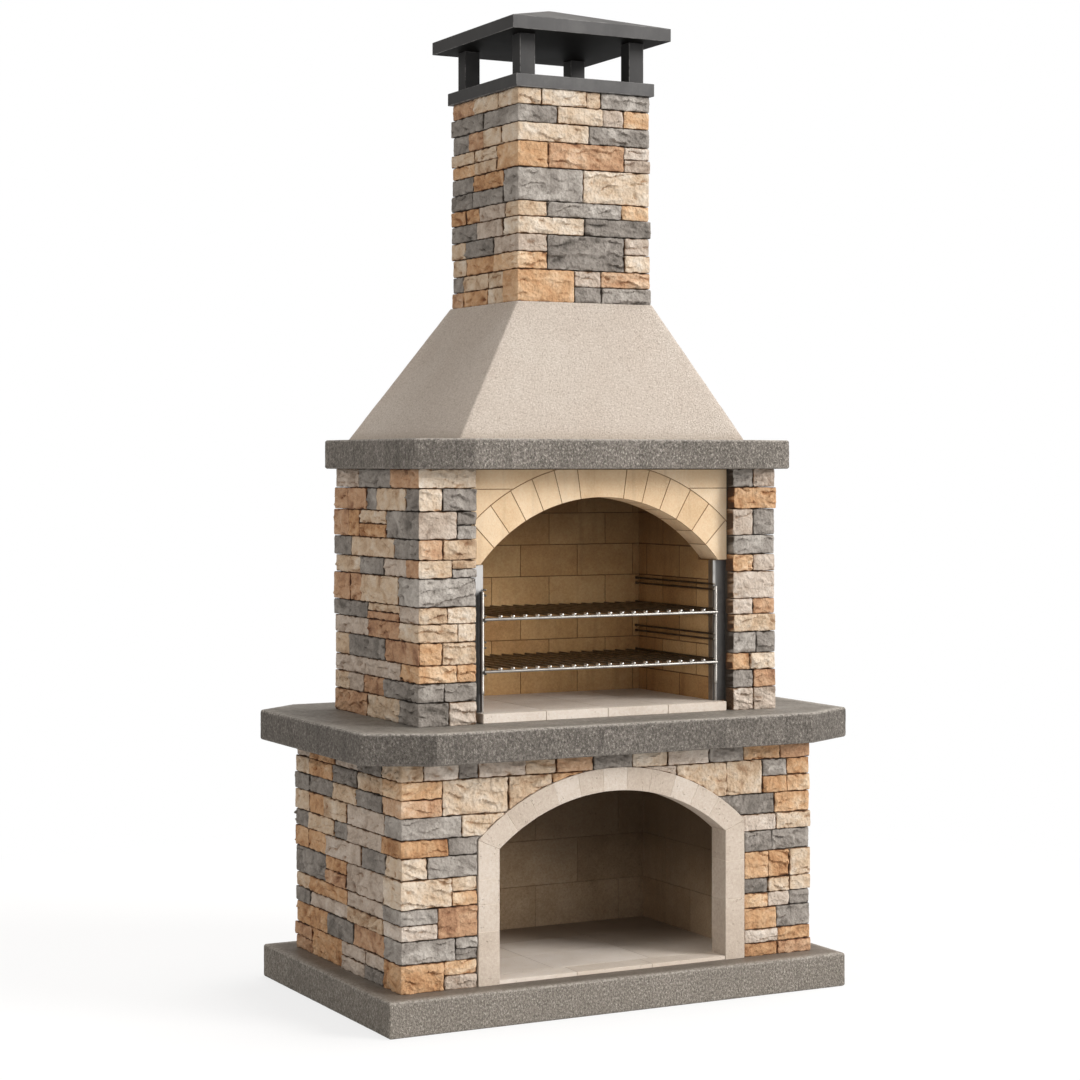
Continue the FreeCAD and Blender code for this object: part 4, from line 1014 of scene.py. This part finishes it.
def corners_at(points, z, inner=False):
    """The four outer or inner corners of the hood at a level, counter-clockwise from front left."""
    ring = points[np.abs(points[:, 2] - z) < 0.5 * MM][:, :2]
    offset = ring - (ring.min(axis=0) + ring.max(axis=0)) / 2
    reach = np.abs(offset).sum(axis=1)
    chosen = []
    for quarter in ((-1, -1), (1, -1), (1, 1), (-1, 1)):
        here = np.flatnonzero((np.sign(offset) == quarter).all(axis=1))
        chosen.append(here[reach[here].argmin() if inner else reach[here].argmax()])
    return ring[chosen]


def ruled_ring(corners):
    """Ring with the same number of points on each side and eased corners."""
    ring = []
    ahead = units(onward(corners))
    for i, corner in enumerate(corners):
        run = ahead[i] * HOOD_ROUND
        ring.append(corner + 0.29 * (run - ahead[i - 1] * HOOD_ROUND))
        start, end = corner + run, corners[(i + 1) % 4] - run
        ring += [start + (end - start) * k / (HOOD_PARTS - 1) for k in range(HOOD_PARTS)]
    return np.array(ring)


def dressed(node, material, bevel, grow=0.0, segments=1):
    """Blocks of a CAD node with eased edges, grown so that only fine joints stay open."""
    bm = bmesh.new()
    bm.from_mesh(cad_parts[node].data)
    bmesh.ops.remove_doubles(bm, verts=bm.verts, dist=1e-5)
    bmesh.ops.dissolve_limit(bm, angle_limit=math.radians(0.5), verts=bm.verts, edges=bm.edges)
    if grow:
        widen(bm, node, grow)
    edge_layer = bm.faces.layers.float.new("edge")
    sharp = [edge for edge in bm.edges
             if len(edge.link_faces) == 2 and edge.calc_face_angle(0) > math.radians(25)]
    made = bmesh.ops.bevel(bm, geom=sharp, offset=bevel, segments=segments, profile=0.6,
                           affect="EDGES", clamp_overlap=True)
    for face in made["faces"]:
        face[edge_layer] = 1.0
    tint_layer = bm.faces.layers.float.new("tint")
    draw = random.Random(node)
    for group in connected(bm):
        value = draw.random()
        for face in group:
            face[tint_layer] = value
    mesh = bpy.data.meshes.new(f"{node}_dressed")
    bm.to_mesh(mesh)
    bm.free()
    mesh.materials.append(material)
    settle(placed(f"{node}_dressed", mesh), [node])


def connected(bm):
    """Faces of each separate block."""
    left = set(bm.faces)
    groups = []
    for first in bm.faces:
        group, queue = [], [first]
        while queue:
            face = queue.pop()
            if face in left:
                left.discard(face)
                group.append(face)
                queue += [other for edge in face.edges for other in edge.link_faces]
        if group:
            groups.append(group)
    return groups


def widen(bm, node, grow):
    """Each block grown about its middle, kept inside the box of the node."""
    for group in connected(bm):
        verts = list({vert for face in group for vert in face.verts})
        spots = np.array([vert.co for vert in verts])
        low, high = spots.min(axis=0), spots.max(axis=0)
        middle, size = (high + low) / 2, high - low
        spots = np.clip(middle + (spots - middle) * (size + grow) / size, *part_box(node))
        for vert, spot in zip(verts, spots):
            vert.co = spot


BAR_SMOOTH = 40
SIDE_BAR = 8.0 * MM
WELD = 11 * MM, 3.2 * MM
REAR_WELD = 9 * MM, 2.2 * MM
POST_WELD = 8 * MM, 3.0 * MM
FOOT_HEIGHT = 54.0 * MM
FOOT_RADIUS = 4.0 * MM


class Bars:
    """Round bars with eased ends, gathered into one mesh."""

    def __init__(self):
        self.verts = []
        self.faces = []

    def turned(self, start, axis, profile, sides=16):
        """Body of revolution: profile is a list of (distance along the axis, radius)."""
        start, axis = Vector(start), Vector(axis).normalized()
        side = axis.orthogonal().normalized()
        other = axis.cross(side)
        rings = rings_of(len(profile), sides, len(self.verts))
        for distance, radius in profile:
            for k in range(sides):
                angle = 2 * math.pi * k / sides
                outward = side * math.cos(angle) + other * math.sin(angle)
                self.verts.append(tuple(start + axis * distance + outward * radius))
        skirts(self.faces, rings)
        self.faces += [list(rings[0])[::-1], list(rings[-1])]

    def bar(self, a, b, radius, nose=0.45, sides=16, stations=()):
        """Straight bar with domed ends and extra rings of points at the stations along it."""
        a, b = Vector(a), Vector(b)
        length = (b - a).length
        ease = [(radius * nose * (1 - math.cos(t)), radius * (1 - nose + nose * math.sin(t)))
                for t in (0.0, 0.5, 1.0, math.pi / 2)]
        profile = ease + [(d, radius) for d in stations]
        profile += [(length - d, r) for d, r in reversed(ease)]
        self.turned(a, b - a, profile, sides)

    def bead(self, centre, axis, length, radius):
        """Small weld bead, fat in the middle."""
        swell = ((0.0, 0.25), (0.2, 0.8), (0.5, 1.0), (0.8, 0.8), (1.0, 0.25))
        start = Vector(centre) - Vector(axis) * length / 2
        self.turned(start, axis, [(length * s, radius * w) for s, w in swell], 8)

    def piece(self, name, material, node, body=MASONRY, tips=None):
        """One object of all the bars; points before the line of the tips keep a painted highlight.
        """
        tip = [float(tips is not None and vert[1] < tips) for vert in self.verts]
        item = make(name, self.verts, self.faces, material, BAR_SMOOTH, tip=tip)
        settle(item, [node], body)


def rods_of(node):
    """Front end, back end and radius of each rod of a CAD node."""
    for points, _ in islands(node):
        low, high = points.min(axis=0), points.max(axis=0)
        x, z = (low[0] + high[0]) / 2, (low[2] + high[2]) / 2
        yield (x, low[1], z), (x, high[1], z), (high[0] - low[0]) / 2


def grill(name):
    """Welded grill: round frame bars, cooking rods laid across them, a weld at each crossing."""
    body = f"{name}_grill"
    low, high = box_of(f"{name}_grill_frame")
    radius = (high[2] - low[2]) / 2
    level = (high[2] + low[2]) / 2
    front, back = low[1] + radius, high[1] - radius
    points = points_of(f"{name}_grill_frame")
    rear = points[points[:, 1] > back]
    left, right = rear[:, 0].min() - SIDE_BAR / 4, rear[:, 0].max() + SIDE_BAR / 4
    bars = Bars()
    bars.bar((low[0], front, level), (high[0], front, level), radius, sides=20)
    bars.bar((left, back, level), (right, back, level), radius)
    for x in (left, right):
        bars.bar((x, front, level), (x, back, level), SIDE_BAR / 2)
        bars.bead((x, front + radius, level), (1, 0, 0), *WELD)
    bars.piece(f"{name}_grill_frame_bars", STEEL, f"{name}_grill_frame", body)
    rods = Bars()
    for near, far, thick in rods_of(f"{name}_grill_rods"):
        bright = front + radius - near[1]
        rods.bar(near, far, thick, 0.7, 12, (bright - 1 * MM, bright + 4 * MM))
        rods.bead((near[0], front, level + radius + 0.6 * MM), (1, 0, 0), *WELD)
        rods.bead((near[0], back, level + radius), (1, 0, 0), *REAR_WELD)
    rods.piece(f"{name}_grill_cooking_rods", ROD_STEEL, f"{name}_grill_rods", body, front + radius)


def rack(side):
    """Post with a thinner foot, a collar above it and a domed head; runner rods with welds."""
    low, high = box_of(f"{side}_rack_post")
    radius = (high[0] - low[0]) / 2
    shaft = radius * 0.93
    x, y = (low[0] + high[0]) / 2, (low[1] + high[1]) / 2
    tall = high[2] - low[2]
    collar = ((-3 * MM, FOOT_RADIUS), (-2 * MM, radius * 0.9), (0, radius), (9 * MM, radius),
              (10 * MM, shaft))
    profile = [(0, FOOT_RADIUS)] + [(FOOT_HEIGHT + up, wide) for up, wide in collar]
    profile += [(tall - radius * (0.55 - 0.55 * math.sin(t)), shaft * math.cos(t) + 0.2 * MM)
                for t in (0.0, 0.5, 1.0, 1.4)]
    post = Bars()
    post.turned((x, y, low[2]), (0, 0, 1), profile, 20)
    runners = Bars()
    for near, far, thick in rods_of(f"{side}_rack_runners"):
        runners.bar(near, far, thick, 0.6, 12)
        post.bead(((near[0] + x) / 2, y, near[2]), (0, 1, 0), *POST_WELD)
    post.piece(f"{side}_rack_post_turned", STEEL, f"{side}_rack_post")
    runners.piece(f"{side}_rack_runner_rods", ROD_STEEL, f"{side}_rack_runners")


# Blocks that keep the form of their solids: material, slot, bevel and growth in millimetres,
# parts of the bevel, and the nodes.
BLOCKS = (
    (ARCH_BRICK, "arch_brick", 1.2, 0.6, 1,
     ("fire_arch_voussoirs", "fire_arch_keystone", "fire_arch_left_spandrel",
      "fire_arch_right_spandrel")),
    (FIREBRICK, "firebrick", 1.5, 1.7, 1, ("firebrick_left", "firebrick_right", "firebrick_back")),
    (HEARTH, "hearth_tile", 1.6, 0.9, 1, ("hearth_tiles",)),
    (SURROUND, "surround_stone", 0.9, 0.7, 1,
     ("log_arch_voussoirs", "log_arch_keystone", "log_left_jamb", "log_right_jamb")),
    (LINING, "log_lining", 1.0, 1.4, 1,
     ("log_lining_left", "log_lining_right", "log_lining_back")),
    (LOG_FLOOR, "log_lining", 1.0, 1.4, 1, ("log_floor_tiles",)),
    (FLUE, "flue_block", 3, 0.0, 1, ("chimney_flue",)),
    (PAINT, "cowl_paint", 2.0, 0.0, 2, ("cowl_collar", "cowl_roof")),
    (SHADED_POST_PAINT, "cowl_paint", 2.0, 0.0, 2, ("cowl_posts",)),
    (SOOT_AND_SHADE_PAINT, "cowl_paint", 0.8, 0.0, 1, ("cowl_soffit",)),
)
HIDDEN_WALLS = ("base_left_wall", "base_right_wall", "base_back_wall", "base_front_piers",
                "base_lintel", "fire_left_wall", "fire_right_wall", "fire_back_wall")


def masonry():
    """Everything that stands still."""
    for module in ("base", "fire", "chimney"):
        facing(module)
    slab("base_slab_cast", "base_slab", 3.0)
    slab("worktop_cast", "worktop", 11.0)
    slab("mantel_cast", "mantel", 19.0, throat())
    hood_piece()
    for material, slot, bevel, grow, segments, nodes in BLOCKS:
        for node in nodes:
            dressed(node, material, bevel * MM, grow * MM, segments)
    for side in ("left", "right"):
        dressed(f"{side}_jamb_angle", PLATE, 0.8 * MM, segments=2)
        rack(side)
    for node in HIDDEN_WALLS:
        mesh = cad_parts[node].data
        mesh.materials.clear()
        mesh.materials.append(BACKING)


# Suns: name, strength, direction, spread and colour.
LAMPS = (
    ("key", 2.52, (-0.66, 0.65, -0.37), 0.42, (1.0, 0.97, 0.935)),
    ("fill", 0.42, (-0.32, 0.93, -0.12), 0.6, (1.0, 0.97, 0.94)),
    ("side", 0.5, (0.78, 0.30, -0.50), 0.25, (1.0, 0.95, 0.89)),
    ("top", 1.5, (-0.25, 0.0, -0.97), 0.4, (1.0, 0.98, 0.96)),
)
SKY = {"Color": (1.0, 0.955, 0.91, 1.0), "Strength": 0.45}
WHITE = {"Color": (1, 1, 1, 1), "Strength": 1.0}
FLOOR_SIZE = 60
FLOOR_SEEN, FLOOR_BOUNCE = (0.90, 0.90, 0.90, 1), (0.50, 0.49, 0.48, 1)
FLOOR_FADE = 1.2, 3.2
FLOOR_LEAST_WHITE = 0.76
LENS, SENSOR, SHIFT = 81.506, 36.0, -0.0697
CAMERA_PLACE = (-3.4773, -6.5477, 1.5677)
CAMERA_TURN = (90, 0, -27.654)


def stage():
    """Pale floor that fades to white, white surroundings, and four soft suns."""
    scene = bpy.context.scene
    scene.view_settings.view_transform = "Standard"
    bpy.ops.mesh.primitive_plane_add(size=FLOOR_SIZE, location=(0, 0, 0))
    floor = bpy.context.object
    floor.name = "studio_floor"
    m = Finish("studio_floor")
    m.shader.inputs["Roughness"].default_value = 0.9
    distance = m.node("VectorMath", {0: m.place}, operation="LENGTH").outputs["Value"]
    far = m.maths("MAXIMUM", m.step(distance, *FLOOR_FADE), FLOOR_LEAST_WHITE)
    seen = m.either_ray("Camera", "Glossy")
    m.put(m.shader.inputs["Base Color"], m.mix(seen, FLOOR_BOUNCE, FLOOR_SEEN))
    white = m.node("Emission", WHITE).outputs[0]
    m.blend(m.times(far, seen), m.shader.outputs[0], white, "Material Output")
    floor.data.materials.append(m.material)

    world = bpy.data.worlds.new("studio")
    scene.world = world
    world.use_nodes = True
    around = Nodes(world.node_tree)
    sky = around.tree.nodes["Background"]
    for key, value in SKY.items():
        sky.inputs[key].default_value = value
    plain = around.node("Background", WHITE).outputs[0]
    seen = around.either_ray("Camera", "Transmission")
    around.blend(seen, sky.outputs[0], plain, "World Output")
    for lamp in LAMPS:
        sun(*lamp)


def sun(name, strength, direction, spread, colour):
    light = bpy.data.lights.new(name, "SUN")
    light.energy = strength
    light.angle = spread
    light.color = colour
    item = placed(name, light)
    item.rotation_mode = "QUATERNION"
    item.rotation_quaternion = Vector(direction).to_track_quat("-Z", "Y")


def camera():
    """The camera solved from the photograph's corners."""
    data = bpy.data.cameras.new("camera")
    data.sensor_width = SENSOR
    data.lens = LENS
    data.shift_y = SHIFT
    item = placed("camera", data)
    item.location = CAMERA_PLACE
    item.rotation_euler = [math.radians(angle) for angle in CAMERA_TURN]
    bpy.context.scene.camera = item


camera()
stage()
masonry()
grill("lower")
grill("upper")
